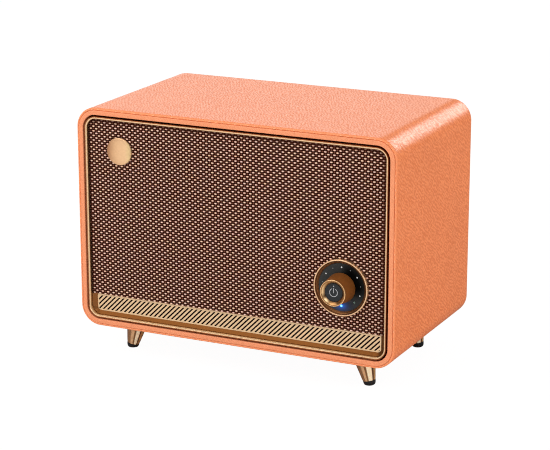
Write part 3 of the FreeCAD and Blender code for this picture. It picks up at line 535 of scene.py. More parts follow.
def metal(name, base, rough, brush, contrast=0.08, bump=0.0):
    """Satin or brushed metal: brush is the density of the noise along x, y and z per mm."""
    mat = Material(name)
    streak = mat.streaks(brush, detail=4)
    blotch = mat.linear(mat.noise(mat.mm, scale=0.09), 0.35, 0.7)
    colour = mat.mix(mat.linear(streak, 0.25, 0.75),
                     tint(base, 1 - contrast), tint(base, 1 + contrast))
    colour = mat.mix(mat.mul(blotch, 0.15), colour, tint(base, 0.8))
    if bump:
        mat.set(Normal=mat.bump(streak, bump))
    return mat.set(Base_Color=colour, Metallic=1.0,
                   Roughness=mat.add(rough, mat.mul(mat.sub(streak, 0.5), 0.22)))


def plastic(name, base, rough=0.5, spark=0.03, grain=0.35, spec=0.4, coat=0.0):
    """Moulded plastic; spark is the depth and grain the size of its spark-eroded texture."""
    mat = Material(name)
    fine = mat.noise(mat.mm, scale=1.0 / grain, rough=0.6)
    blotch = mat.noise(mat.mm, scale=0.06, detail=3)
    colour = mat.mix(mat.linear(blotch, 0.3, 0.7), tint(base, 0.88), tint(base, 1.12))
    return mat.set(Base_Color=colour, Roughness=mat.add(rough, mat.mul(mat.sub(fine, 0.5), 0.25)),
                   Normal=mat.bump(fine, spark), Specular_IOR_Level=spec, Coat_Weight=coat)


def wood(name, dark, light):
    mat = Material(name)
    grain = mat.streaks((0.4, 0.12, 0.4), detail=5, rough=0.65)
    fibre = mat.streaks((3, 0.7, 3))
    colour = mat.mix(mat.linear(grain, 0.3, 0.7), dark, light)
    colour = mat.mix(mat.mul(fibre, 0.35), colour, tint(dark, 0.6))
    return mat.set(Base_Color=colour, Roughness=0.8, Normal=mat.bump(fibre, 0.08),
                   Specular_IOR_Level=0.2)


def fleece(name, base):
    mat = Material(name)
    fluff = mat.streaks((1, 1, 1), scale=2.2, detail=4, rough=0.75, distortion=1.5)
    return mat.set(Base_Color=mat.mix(fluff, tint(base, 0.5), tint(base, 1.6)), Roughness=0.95,
                   Normal=mat.bump(fluff, 0.25), Specular_IOR_Level=0.1, Sheen_Weight=0.1)


def circuit_board():
    """Green board with paler lines between its cells."""
    mat = Material("solder_mask")
    edge = mat.voronoi(0.6, mat.mm, "DISTANCE_TO_EDGE", Randomness=0.6)
    line = mat.linear(edge, 0.02, 0.05, to=(1.0, 0.0))
    colour = mat.mix(mat.mul(line, 0.6), (0.010, 0.085, 0.040), (0.03, 0.20, 0.09))
    return mat.set(Base_Color=colour, Roughness=0.35, Normal=mat.bump(line, 0.03),
                   Coat_Weight=0.3)


def cone_paper():
    mat = Material("pulp_cone")
    pulp = mat.noise(mat.mm, scale=1.4, detail=5, rough=0.7)
    return mat.set(Base_Color=mat.mix(pulp, (0.018, 0.018, 0.020), (0.055, 0.054, 0.055)),
                   Roughness=0.85, Normal=mat.bump(pulp, 0.12), Specular_IOR_Level=0.2)


LIP_LEATHER = leather("lip_leather", (0.76, 0.262, 0.118), (0.55, 0.15, 0.05),
                      grain=0.9, depth=0.05, stretch=1.6)
BLACK = plastic("black_spark_plastic", (0.022, 0.022, 0.024))
RUBBER = plastic("black_rubber", (0.010, 0.010, 0.011), spark=0.02, grain=0.6, spec=0.35)
STEEL = metal("plated_steel", (0.56, 0.56, 0.55), rough=0.28, brush=(2, 2, 2))
DARK_STEEL = metal("blackened_steel", (0.10, 0.10, 0.105), rough=0.36, brush=(2, 2, 2),
                   contrast=0.15)


# ------------------------------------------------------------------------------------------------
# leather: skin, front lip, seam bead with stitches, rear lip
# ------------------------------------------------------------------------------------------------
PATH, LENGTH = rim_path(step=1.05, arc_steps=22)
STITCH_COUNT = int(round(LENGTH / 4.6))
STITCH_PITCH = LENGTH / STITCH_COUNT


def loop_point(along, third):
    """Noise coordinate that closes on itself once round the outline."""
    turn = 2 * math.pi * along / LENGTH
    return Vector((math.cos(turn) * LENGTH / 6.283, math.sin(turn) * LENGTH / 6.283, third))


def wobble(along, seed, size):
    point = loop_point(along, seed * 17.0)
    return size * (noise.noise(point * 0.09) + 0.5 * noise.noise(point * 0.3))


def skin():
    """Leather round the cabinet, rolled down into a seam at the front and back."""
    roll, outer, inner = 0.42, 0.02, 1.15
    rows, roll_steps = 112, 4
    front, back = WRAP_MIN.y + 0.05, WRAP_MAX.y
    section = []
    for j in range(roll_steps + 1):
        t = math.pi / 2 * j / roll_steps
        section.append((roll * (1 - math.sin(t)) + outer, front + roll * (1 - math.cos(t))))
    for j in range(1, rows):
        section.append((outer, front + roll + (back - front - 2 * roll) * j / rows))
    for j in range(roll_steps + 1):
        t = math.pi / 2 * j / roll_steps
        section.append((roll * (1 - math.cos(t)) + outer, back - roll * (1 - math.sin(t))))
    for j in range(6):                # flesh side, against the wood
        section.append((inner, back - (back - front) * j / 5))

    def shift(along, inset, y):
        if inset > 0.5:
            return 0.0, 0.0
        point = loop_point(along, y)
        hollow = noise.noise(point * 0.05) * 0.05
        hollow += noise.noise(point * 0.21 + Vector((7, 3, 1))) * 0.035
        slanted = Vector((point.x * 0.33, point.y * 0.33, (y + along * 0.55) * 0.16))
        hollow += noise.noise(slanted) * 0.035
        # pulled tight over the front seam
        near_seam = math.exp(-abs(y - front) / 3.0)
        return max(0.0, hollow * (1 - 0.6 * near_seam) + 0.05), 0.0

    material = leather("apricot_leather", (0.82, 0.232, 0.072), (0.60, 0.118, 0.022),
                       rough=0.30, shade=0.88)
    place(sweep("leather_skin", PATH, section, material, shift), "leather", "leather_wrap")


def front_lip():
    face, back = FRONT + 0.02, FRONT + 1.25
    section = round_poly([
        (LIP_INSET, FRONT_TURN_IN, 0.3), (LIP_INSET, face, 0.62), (1.66, face, 0.62),
        (1.60, back, 0.0), (LIP_INSET - 0.8, back, 0.0),
        (LIP_INSET - 0.8, FRONT_TURN_IN, 0.2)], 6)
    # more points across the flat, so that it can be slightly crowned
    section = densify(section, 0.5, lambda y, y2: 0.45 if max(y, y2) < FRONT + 0.5 else 2.5)

    def shift(along, inset, y):
        if y > FRONT + 1.1:
            return 0.0, 0.0
        flat = math.exp(-((inset - 3.2) / 1.2) ** 2)
        crown = 0.05 * (1 - flat) + max(-0.02, wobble(along, 1, 0.03)) * flat
        outer_edge = math.exp(-((inset - 1.7) / 0.45) ** 2)
        return outer_edge * wobble(along, 2, 0.12), max(crown, -0.015)

    place(sweep("lip_leather_ring", PATH, section, LIP_LEATHER, shift),
          "leather_edge", "front_lip_trim")


def seam_bead():
    """Rolled edge, pinched a little where each stitch goes through."""
    path, _ = rim_path(step=0.6, arc_steps=34)
    centre_inset, centre_y = 0.92, BEAD_FRONT + 0.66
    half_width, half_depth, sides = 0.80, 0.68, 14
    section = []
    for k in range(sides):
        t = 2 * math.pi * k / sides
        section.append((centre_inset + half_width * math.cos(t),
                        centre_y + half_depth * math.sin(t)))

    def shift(along, inset, y):
        share = (along % STITCH_PITCH) / STITCH_PITCH
        pinch = 0.03 * math.exp(-((share - 0.5) / 0.09) ** 2)
        more_inset = (centre_inset - inset) * pinch + wobble(along, 5, 0.05)
        return more_inset, (centre_y - y) * pinch + pinch

    material = leather("bead_leather", (0.80, 0.25, 0.095), (0.60, 0.16, 0.05),
                       grain=0.8, depth=0.03, stretch=1.5)
    place(sweep("seam_roll", path, section, material, shift), "leather_edge", "seam_bead")


def on_rim(along, inset):
    """Point (x, z) at a distance along the outline, moved in by inset."""
    along = along % LENGTH
    i = bisect_right(PATH, along, key=lambda station: station[4]) - 1
    here, after = PATH[i], PATH[(i + 1) % len(PATH)]
    end = after[4] if after[4] > here[4] else LENGTH
    share = 0 if end <= here[4] else (along - here[4]) / (end - here[4])
    r = CORNER_R - inset
    points = [Vector((x + r * out_x, MID_Z + z + r * out_z))
              for x, z, out_x, out_z, _ in (here, after)]
    return points[0].lerp(points[1], share)


def waxed_thread():
    mat = Material("waxed_thread")
    fibre = mat.streaks((4, 4, 4))
    return mat.set(Base_Color=mat.mix(fibre, (0.86, 0.32, 0.13), (0.95, 0.44, 0.22)),
                   Roughness=0.45, Normal=mat.bump(fibre, 0.03), Sheen_Weight=0.2)


def stitches():
    """Short rounded stitches lying along the seam."""
    inset, surface_y = 0.98, BEAD_FRONT + 0.14
    length, radius, tilt, rise = 1.9, 0.20, 0.06, 0.30
    rings, sides = 7, 7
    verts, faces = [], []
    for k in range(STITCH_COUNT):
        middle = (k + 0.5) * STITCH_PITCH + 0.1 * noise.noise(Vector((k * 1.7, 0, 3)))
        faces += tube_faces(rings, sides, len(verts))
        for i in range(rings):
            u = -1 + 2 * i / (rings - 1)
            centre = on_rim(middle + u * length / 2, inset + tilt * u)
            ahead = on_rim(middle + u * length / 2 + 0.05, inset + tilt * (u + 0.1 / length))
            heading = (ahead - centre).normalized()
            side = Vector((-heading.y, heading.x))
            ring_r = radius * math.sqrt(max(0.05, 1 - u ** 4))
            forward = rise * (1 - u * u)          # the ends go down into the leather
            for j in range(sides):
                t = 2 * math.pi * j / sides
                off = side * (ring_r * math.cos(t))
                verts.append((centre.x + off.x, surface_y - forward + ring_r * math.sin(t),
                              centre.y + off.y))
    place(put_mesh("seam_stitches", verts, faces, waxed_thread()), "leather_edge")


def rear_lip():
    outer, face, front = 0.22, BACK - 0.02, BACK - 1.25
    section = round_poly([
        (LIP_INSET, REAR_TURN_IN, 0.3), (LIP_INSET, face, 0.9), (outer, face, 1.0),
        (outer, front, 0.1), (LIP_INSET - 0.8, front, 0.0),
        (LIP_INSET - 0.8, REAR_TURN_IN, 0.2)], 6)
    section = densify(section, 0.7,
                      lambda y, y2: 0.6 if min(y, y2) > BACK - 0.4 else math.inf)

    def shift(along, inset, y):
        return 0.0, 0.0 if y < BACK - 1.0 else -abs(wobble(along, 9, 0.06))

    place(sweep("rear_leather_ring", PATH, section, LIP_LEATHER, shift),
          "leather_edge", "rear_lip_trim")


skin()
front_lip()
seam_bead()
stitches()
rear_lip()


# ------------------------------------------------------------------------------------------------
# gold bezel
# ------------------------------------------------------------------------------------------------
BEZEL_PAINTED_LIGHT_TONES = [                       # (share of the way from outer to inner edge, colour)
    (0.0, (0.30, 0.075, 0.02)), (0.26, (0.34, 0.10, 0.03)), (0.40, (0.95, 0.65, 0.39)),
    (0.68, (0.95, 0.65, 0.39)), (0.78, (0.60, 0.38, 0.19)), (0.90, (0.62, 0.39, 0.20)),
    (1.0, (0.74, 0.47, 0.24))]


def bezel_gold():
    """Gold with a painted highlight line between painted brown shadow at the outer edge and painted
    deeper shade towards the inner edge.
    """
    mat = Material("bezel_gold")
    x, _, z = mat.xyz(mat.mm)
    past_x = mat.sub(mat.math("ABSOLUTE", x), HALF_WIDTH - CORNER_R)
    past_z = mat.sub(mat.math("ABSOLUTE", mat.sub(z, MID_Z)), HALF_HEIGHT - CORNER_R)
    inset = mat.rounded_inset(past_x, past_z, CORNER_R)
    # painted light across the bezel: shadow at the outer edge, a highlight line, deeper shade
    # inwards
    colour = mat.ramp(mat.linear(inset, BEZEL_INSET, OPENING_INSET), BEZEL_PAINTED_LIGHT_TONES)
    fleck = mat.streaks((2.0, 2.0, 2.0), detail=2, rough=0.5)
    colour = mat.mix(mat.mul(fleck, 0.22), colour, (0.48, 0.27, 0.12))
    return mat.set(Base_Color=colour, Metallic=1.0, Roughness=0.36)


def bezel():
    back = box_mm("front_bezel")[1].y
    section = round_poly([
        (BEZEL_INSET, FRONT, 0.16), (6.25, FRONT, 0.08), (6.60, FRONT + 0.62, 0.10),
        (6.85, FRONT + 0.62, 0.08), (7.45, FRONT + 0.72, 0.16), (OPENING_INSET, back, 0.0),
        (BEZEL_INSET, back, 0.0)], 4)
    path, _ = rim_path(step=30.0, arc_steps=28)
    place(sweep("bezel_ring", path, section, bezel_gold(), sharp=40), "gold_trim", "front_bezel")


bezel()

# ------------------------------------------------------------------------------------------------
# grille cloth: plain weave of real yarns, with a ground sheet behind
# ------------------------------------------------------------------------------------------------
WEFT_TONES = [
    (0.0, (0.85, 0.52, 0.43)), (0.25, (0.94, 0.63, 0.49)), (0.45, (0.89, 0.61, 0.39)),
    (0.65, (0.79, 0.54, 0.46)), (0.85, (0.95, 0.58, 0.37)), (1.0, (0.85, 0.50, 0.42))]
WARP_TONES = [
    (0.0, (0.19, 0.070, 0.042)), (0.5, (0.15, 0.055, 0.034)), (1.0, (0.22, 0.090, 0.055))]
CLOTH_HOLES = [                       # (x, z, radius) kept clear of yarn
    (DIAL_X, DIAL_Z, DIAL_R + 0.1), (BADGE_X, BADGE_Z, BADGE_R - 0.9)]


def yarn(name, tones, painted_depth_shade, crest, floor, weft):
    """Yarn with a tone for each float, and painted shade darkening it from the crest's y to the
    floor's.
    """
    mat = Material(name)
    x, y, z = mat.xyz(mat.mm)
    if weft:
        row = mat.math("ROUND", mat.div(z, ROW_PITCH))
        odd = mat.mul(mat.math("MODULO", mat.math("ABSOLUTE", row), 2.0), COLUMN_PITCH)
        column = mat.math("ROUND", mat.div(mat.sub(x, odd), 2 * COLUMN_PITCH))
        ident = mat.combine(column, row, 1.0)
    else:
        column = mat.math("ROUND", mat.div(x, COLUMN_PITCH))
        ident = mat.combine(column, mat.math("FLOOR", mat.div(z, ROW_PITCH * 2)), 7.0)
    draw = mat.node("ShaderNodeTexWhiteNoise", {"Vector": ident}, out="Value",
                    noise_dimensions="3D")
    tone = mat.ramp(draw, tones)
    fibre = mat.streaks((1.5, 6, 9) if weft else (9, 6, 1.5))
    tone = mat.mix(mat.mul(mat.linear(fibre, 0.35, 0.7), 0.30), tone, (0.12, 0.05, 0.035))
    # painted shade between the yarns, deeper further back
    depth = mat.smooth(y, crest, floor)
    colour = mat.mix(depth, tone, painted_depth_shade)
    # painted shadow of the frame along the cloth's edge
    radius = CORNER_R - OPENING_INSET
    past_x = mat.sub(mat.math("ABSOLUTE", mat.add(x, 0.5)), HALF_WIDTH - OPENING_INSET - radius)
    past_z = mat.sub(z, MID_Z + HALF_HEIGHT - OPENING_INSET - radius)
    edge = mat.rounded_inset(past_x, past_z, radius)
    colour = mat.mix(mat.smooth(edge, 1.3, 3.0, to=(0.82, 0.0)), colour, painted_depth_shade)
    return mat.set(Base_Color=colour, Roughness=0.5 if weft else 0.7,
                   Specular_IOR_Level=mat.lerp(depth, 0.45 if weft else 0.15, 0.0),
                   Normal=mat.bump(fibre, 0.03))


def corner_loss(past):
    """How much a yarn loses to a rounded corner, at a distance past its arc centre."""
    if past <= 0:
        return 0.0
    if past >= CLOTH_CORNER_R:
        return math.inf
    return CLOTH_CORNER_R - math.sqrt(CLOTH_CORNER_R ** 2 - past * past)


def free_spans(start, end, at, along, across):
    """Parts of start..end clear of the holes; along and across are 0 for x and 1 for z."""
    spans = [(start, end)] if end > start else []
    for hole in CLOTH_HOLES:
        centre, radius, off = hole[along], hole[2], abs(at - hole[across])
        if off < radius:
            half = math.sqrt(radius * radius - off * off)
            cut = []
            for low, high in spans:
                if centre - half > low:
                    cut.append((low, min(high, centre - half)))
                if centre + half < high:
                    cut.append((max(low, centre + half), high))
            spans = [span for span in cut if span[1] - span[0] > 0.3]
    return spans


def row_spans(z):
    """Free spans in x of a horizontal yarn."""
    half = CLOTH_MAX.x - 0.25 - corner_loss(z - (CLOTH_MAX.z - CLOTH_CORNER_R))
    return free_spans(-half, half, z, along=0, across=1)


def column_spans(x):
    """Free spans in z of a vertical yarn."""
    top = CLOTH_MAX.z - 0.2 - corner_loss(abs(x) - (CLOTH_MAX.x - CLOTH_CORNER_R))
    return free_spans(CLOTH_MIN.z + 0.1, top, x, along=1, across=0)


def samples(start, end, step, phase):
    """Both ends, with the steps of a regular grid between them."""
    first = math.ceil((start - phase) / step + 0.35)
    last = math.floor((end - phase) / step - 0.35)
    return [start] + [phase + k * step for k in range(first, last + 1)] + [end]


def yarn_piece(name, strands, sides, material, across):
    """Strands are lists of ((x, y, z), half-width along `across`, half-depth)."""
    verts, faces = [], []
    for strand in strands:
        faces += tube_faces(len(strand), sides, len(verts), turn=-1)
        for (x, y, z), half_width, half_depth in strand:
            for j in range(sides):
                t = 2 * math.pi * (j + 0.5) / sides
                u, v = half_width * math.cos(t), half_depth * math.sin(t)
                verts.append((x + u, y + v, z) if across == "x" else (x, y + v, z + u))
    place(put_mesh(name, verts, faces, material), "grille_cloth", "grille_cloth")


def weft():
    """Horizontal yarns; even and odd rows are two pieces."""
    material = yarn("weft_yarn", WEFT_TONES, (0.068, 0.012, 0.005),
                    crest=CLOTH_MID_Y - 0.62, floor=CLOTH_MID_Y - 0.20, weft=True)
    rng = np.random.default_rng(7)
    first = math.ceil((CLOTH_MIN.z + 0.2 - ROW_START) / ROW_PITCH)
    last = math.floor((CLOTH_MAX.z - 0.5 - ROW_START) / ROW_PITCH)
    strands = [[], []]
    for k in range(first, last + 1):
        row_z = ROW_START + k * ROW_PITCH
        jitter = rng.normal(0, 0.035) * 0.5
        for start, end in row_spans(row_z):
            strand = []
            for x in samples(start, end, COLUMN_PITCH / 4, COLUMN_START):
                wave = math.cos(math.pi * ((x - COLUMN_START) / COLUMN_PITCH + k))
                sway = noise.noise(Vector((x * 0.6, row_z * 0.9, 1.0)))
                up = 0.5 + 0.5 * wave
                centre = (x, CLOTH_MID_Y - 0.30 * wave - 0.02 * sway,
                          row_z + jitter + 0.05 * sway)
                strand.append((centre, 0.38 + 0.22 * up ** 1.3, 0.24 + 0.14 * up))
            strands[k % 2].append(strand)
    for parity, letter in enumerate("ab"):
        yarn_piece("grille_weft_" + letter, strands[parity], 6, material, across="z")


def warp():
    """Vertical yarns."""
    material = yarn("warp_yarn", WARP_TONES, (0.056, 0.010, 0.004),
                    crest=CLOTH_MID_Y - 0.36, floor=CLOTH_MID_Y - 0.10, weft=False)
    first = math.ceil((-CLOTH_MAX.x + 0.3 - COLUMN_START) / COLUMN_PITCH)
    last = math.floor((CLOTH_MAX.x - 0.3 - COLUMN_START) / COLUMN_PITCH)
    strands = []
    for k in range(first, last + 1):
        column_x = COLUMN_START + k * COLUMN_PITCH
        for start, end in column_spans(column_x):
            strand = []
            for z in samples(start, end, ROW_PITCH / 2, ROW_START):
                wave = math.cos(math.pi * ((z - ROW_START) / ROW_PITCH + k))
                sway = noise.noise(Vector((column_x * 0.7, z * 0.8, 9.0)))
                centre = (column_x + 0.05 * sway, CLOTH_MID_Y + 0.10 + 0.24 * wave, z)
                strand.append((centre, 0.36 - 0.06 * wave, 0.22))
            strands.append(strand)
    yarn_piece("grille_warp", strands, 5, material, across="x")


def ground_cloth():
    """Dark sheet behind the yarns, with a rounded top and the hole for the dial."""
    half, low, arc_steps, hole_steps = CLOTH_MAX.x, CLOTH_MIN.z + 0.15, 8, 72
    outline = [(-half, low), (half, low)]
    for start, centre_x in ((0, half - CLOTH_CORNER_R), (90, CLOTH_CORNER_R - half)):
        for k in range(arc_steps + 1):
            t = math.radians(start + 90 * k / arc_steps)
            outline.append((centre_x + CLOTH_CORNER_R * math.cos(t),
                            CLOTH_MAX.z - CLOTH_CORNER_R + CLOTH_CORNER_R * math.sin(t)))
    hole = []
    for k in range(hole_steps):
        t = 2 * math.pi * k / hole_steps
        hole.append((DIAL_X + (DIAL_R + 0.05) * math.cos(t),
                     DIAL_Z + (DIAL_R + 0.05) * math.sin(t)))
    sheet = plate("grille_ground_cloth", outline, [hole], CLOTH_MIN.y + 0.62, CLOTH_MAX.y,
                  fleece("cloth_ground", (0.030, 0.006, 0.002)))
    place(sheet, "grille_cloth", "grille_cloth")


weft()
warp()
ground_cloth()


# ------------------------------------------------------------------------------------------------
# louvre strip: slots slanted at 45 degrees, clipped by a plain border at both ends
# ------------------------------------------------------------------------------------------------
def louvre_paint():
    """Pale gold paint on the face of the strip; the walls of the slots get painted shade, near
    black.
    """
    mat = Material("pale_gold_paint")
    _, y, _ = mat.xyz(mat.mm)
    colour = mat.mix(mat.streaks((0.3, 3.0, 3.0)), (0.68, 0.46, 0.26), (0.80, 0.56, 0.33))
    # painted shade on the slot walls behind the face
    painted_depth_shade = mat.linear(y, STRIP_MIN.y + 0.01, STRIP_MIN.y + 0.08)
    return mat.set(Base_Color=mat.mix(painted_depth_shade, colour, (0.006, 0.003, 0.002)),
                   Metallic=mat.sub(0.35, mat.mul(painted_depth_shade, 0.35)), Roughness=0.42,
                   Specular_IOR_Level=mat.lerp(painted_depth_shade, 0.4, 0.0))


def clip(poly, limit, side):
    """Keeps the part of a polygon below x = limit for side 1, above it for side -1."""
    kept = []
    for i, here in enumerate(poly):
        after = poly[(i + 1) % len(poly)]
        here_in, after_in = (side * (p[0] - limit) < 1e-9 for p in (here, after))
        if here_in:
            kept.append(here)
        if here_in != after_in:
            t = (limit - here[0]) / (after[0] - here[0])
            kept.append(tuple(here[k] + (after[k] - here[k]) * t for k in range(2)))
    return kept


def louvres():
    half, low, high = STRIP_MAX.x, MID_Z - 64.75, MID_Z - 55.2
    lean = high - low
    slots, pitch, width, grow, border = 67, 3.28, 1.245, 0.08, 0.9
    holes = []
    for k in range(slots):
        left = -half - lean - 0.05 + k * pitch - grow
        right = left + width + 2 * grow
        slot = [(left, low), (right, low), (right + lean, high), (left + lean, high)]
        slot = clip(clip(slot, half - border, 1), -half + border, -1)
        slot = [p for i, p in enumerate(slot) if math.dist(p, slot[i - 1]) > 0.05]
        if abs(poly_area(slot)) > 0.4:
            holes.append(slot)
    outline = round_poly([
        (-half, STRIP_MIN.z, 2.5), (half, STRIP_MIN.z, 2.5),
        (half, STRIP_MAX.z, 0.5), (-half, STRIP_MAX.z, 0.5)], 8)
    place(plate("louvre_plate", outline, holes, STRIP_MIN.y, STRIP_MAX.y, louvre_paint(), 0.04),
          "louvre_gold", "louvre_strip")


def fleece_pad():
    """Pad behind the louvres, uneven in front and thinned at its edges."""
    least, most = box_mm("strip_backing")
    columns, rows = 300, 14
    grid = [(i, j, least.x + (most.x - least.x) * i / columns,
             least.z + (most.z - least.z) * j / rows)
            for j in range(rows + 1) for i in range(columns + 1)]
    verts = []
    for i, j, x, z in grid:
        edge = min(i, columns - i, j * 3, (rows - j) * 3) / 3.0
        fluff = 0.12 * (noise.noise(Vector((x, 0, z)) * 0.9) + 1) * 0.5
        verts.append((x, least.y + 0.02 + 0.25 * (1 - min(1, edge)) + fluff, z))
    back = len(verts)
    verts += [(x, most.y, z) for _, _, x, z in grid]
    width = columns + 1
    faces = []
    for j in range(rows):
        for i in range(columns):
            a = j * width + i
            faces.append((a, a + 1, a + width + 1, a + width))
            a += back
            faces.append((a, a + width, a + width + 1, a + 1))
    rim = list(range(width))
    rim += [j * width + columns for j in range(1, rows + 1)]
    rim += [rows * width + i for i in range(columns - 1, -1, -1)]
    rim += [j * width for j in range(rows - 1, 0, -1)]
    for a, b in zip(rim, rim[1:] + rim[:1]):
        faces.append((a, b, b + back, a + back))
    place(put_mesh("louvre_fleece", verts, faces, fleece("dust_fleece", (0.014, 0.004, 0.002))),
          "black_fleece", "strip_backing")


louvres()
fleece_pad()

# ------------------------------------------------------------------------------------------------
# badge
# ------------------------------------------------------------------------------------------------
BADGE_PAINTED_LIGHT_TONES = [                       # (share of the way from left to right, colour)
    (0.0, (0.28, 0.12, 0.05)), (0.10, (0.42, 0.205, 0.095)), (0.28, (0.62, 0.355, 0.18)),
    (0.5, (0.75, 0.455, 0.242)), (0.76, (0.77, 0.485, 0.26)), (0.90, (0.72, 0.50, 0.245)),
    (1.0, (0.56, 0.37, 0.19))]


def badge_gold():
    """Satin gold with painted light: painted shade at the left rim, and a painted paler, yellower
    highlight towards the right.
    """
    mat = Material("badge_gold")
    x, _, z = mat.xyz(mat.mm)
    brush = mat.streaks((0.6, 1.0, 2.4))
    share = mat.mul(mat.add(mat.div(mat.sub(x, BADGE_X), BADGE_R), 1.0), 0.5)
    share = mat.add(share, mat.mul(mat.sub(brush, 0.5), 0.06))
    colour = mat.ramp(share, BADGE_PAINTED_LIGHT_TONES)
    height = mat.math("ABSOLUTE", mat.div(mat.sub(z, BADGE_Z), BADGE_R))
    # painted shade towards the top and bottom of the dome
    colour = mat.mix(mat.smooth(height, 0.55, 1.0, to=(0.0, 0.35)), colour, (0.50, 0.27, 0.14))
    return mat.set(Base_Color=colour, Metallic=0.6,
                   Roughness=mat.add(0.38, mat.mul(brush, 0.10)))


def badge():
    """Domed disc."""
    dome_steps = 14
    profile = [(0.0, BADGE_FRONT)]
    for k in range(1, dome_steps + 1):
        r = BADGE_R * 0.955 * k / dome_steps
        profile.append((r, BADGE_FRONT + 0.62 * (r / BADGE_R) ** 2.4))
    edge_y = profile[-1][1]
    profile += [
        (BADGE_R - 0.16, edge_y + 0.12), (BADGE_R - 0.03, edge_y + 0.36),
        (BADGE_R, edge_y + 0.6), (BADGE_R, BADGE_BACK - 0.15),
        (BADGE_R - 0.15, BADGE_BACK), (0.0, BADGE_BACK)]
    place(lathe("badge_disc", BADGE_X, BADGE_Z, profile, badge_gold(), 128, sharp=50),
          "badge_gold", "badge")


badge()

# ------------------------------------------------------------------------------------------------
# dial ring and knob
# ------------------------------------------------------------------------------------------------
KNOB_WALL_REFLECTION_TONES = [                   # (turns anticlockwise from the right, colour)
    (0.0, (0.26, 0.12, 0.045)), (0.20, (0.34, 0.17, 0.06)), (0.36, (0.50, 0.28, 0.11)),
    (0.43, (0.74, 0.47, 0.22)), (0.53, (0.80, 0.52, 0.26)), (0.58, (0.52, 0.29, 0.12)),
    (0.61, (0.92, 0.64, 0.34)), (0.66, (0.92, 0.64, 0.34)), (0.69, (0.42, 0.22, 0.085)),
    (0.76, (0.30, 0.15, 0.055)), (0.84, (0.24, 0.11, 0.04)), (1.0, (0.24, 0.11, 0.04))]


def dial_ring_gold():
    """Turned rim: gold outside, darker copper brown on the wall inside it."""
    mat = Material("dial_ring_gold")
    light, brown = (0.84, 0.53, 0.30), (0.23, 0.088, 0.026)
    x, y, z = mat.xyz(mat.mm)
    radius = mat.radius(x, z, DIAL_X, DIAL_Z)
    turning = mat.noise(mat.combine(mat.mul(radius, 6.0), mat.mul(y, 6.0), 0.0))
    outside = mat.smooth(radius, 17.75, 17.95)
    colour = mat.mix(outside, brown, light)
    colour = mat.mix(mat.mul(turning, 0.15), colour, tint(light, 0.6))
    rough = 0.34
    return mat.set(Base_Color=colour, Metallic=0.9, Roughness=mat.lerp(outside, rough + 0.14, rough),
                   Normal=mat.bump(turning, 0.001))


def knob_rim_gold():
    """Polished rim with a groove inside its edge and a sloping wall down to the cap; painted shade
    in the groove and at the wall's foot, painted reflections on the wall.
    """
    mat = Material("knob_rim_gold")
    x, _, z = mat.xyz(mat.mm)
    radius = mat.radius(x, z, DIAL_X, DIAL_Z)
    turning = mat.noise(mat.combine(mat.mul(radius, 5.0), 0.0, 0.0))
    edge = mat.smooth(radius, 8.15, 8.27)
    groove = mat.mul(mat.smooth(radius, 7.50, 7.90, to=(0.0, 0.78)), mat.sub(1.0, edge))
    foot = mat.smooth(radius, 6.45, 7.15, to=(1.0, 0.0))
    angle = mat.math("ARCTAN2", mat.sub(z, DIAL_Z), mat.sub(x, DIAL_X))
    turns = mat.math("FRACT", mat.add(mat.div(angle, 2 * math.pi), 1.0))
    # painted reflection: a highlight at the lower left of the wall, painted dark brown elsewhere; it
    # turns with the knob
    wall = mat.ramp(turns, KNOB_WALL_REFLECTION_TONES)
    colour = mat.mix(turning, (0.84, 0.50, 0.23), (0.92, 0.57, 0.27))
    colour = mat.mix(mat.linear(radius, 7.60, 7.90, to=(1.0, 0.0)), colour, wall)
    # painted shade in the groove and at the foot of the wall
    colour = mat.mix(groove, colour, (0.20, 0.085, 0.028))
    colour = mat.mix(mat.mul(foot, 0.7), colour, (0.12, 0.05, 0.02))
    return mat.set(Base_Color=colour, Metallic=0.95, Roughness=mat.lerp(edge, 0.26, 0.34))


def knob_side_copper():
    mat = Material("copper_brown_turned")
    _, y, _ = mat.xyz(mat.mm)
    rings = mat.noise(mat.combine(0.0, mat.mul(y, 7.0), 0.0), detail=3, rough=0.6)
    blotch = mat.noise(mat.mm, scale=0.25)
    colour = mat.mix(mat.linear(rings, 0.3, 0.7), (0.215, 0.068, 0.012), (0.265, 0.088, 0.017))
    colour = mat.mix(mat.mul(blotch, 0.25), colour, (0.17, 0.05, 0.011))
    return mat.set(Base_Color=colour, Metallic=0.3, Roughness=0.46,
                   Normal=mat.bump(rings, 0.012), Specular_IOR_Level=0.2)


def dial_ring():
    face_r = 16.0
    profile = round_poly([
        (18.0, FRONT, 0.12), (DIAL_R, FRONT, 0.32), (DIAL_R, DIAL_BACK),
        (face_r - 1.6, DIAL_BACK), (face_r - 1.6, FACE_Y + 1.55), (face_r, FACE_Y + 1.55),
        (face_r, FACE_Y - 0.02, 0.10), (16.95, FRONT + 1.15, 0.12), (17.2, FRONT + 1.05, 0.08)])
    place(lathe("dial_ring_turned", DIAL_X, DIAL_Z, profile, dial_ring_gold(), 144),
          "gold_trim", "dial_ring")


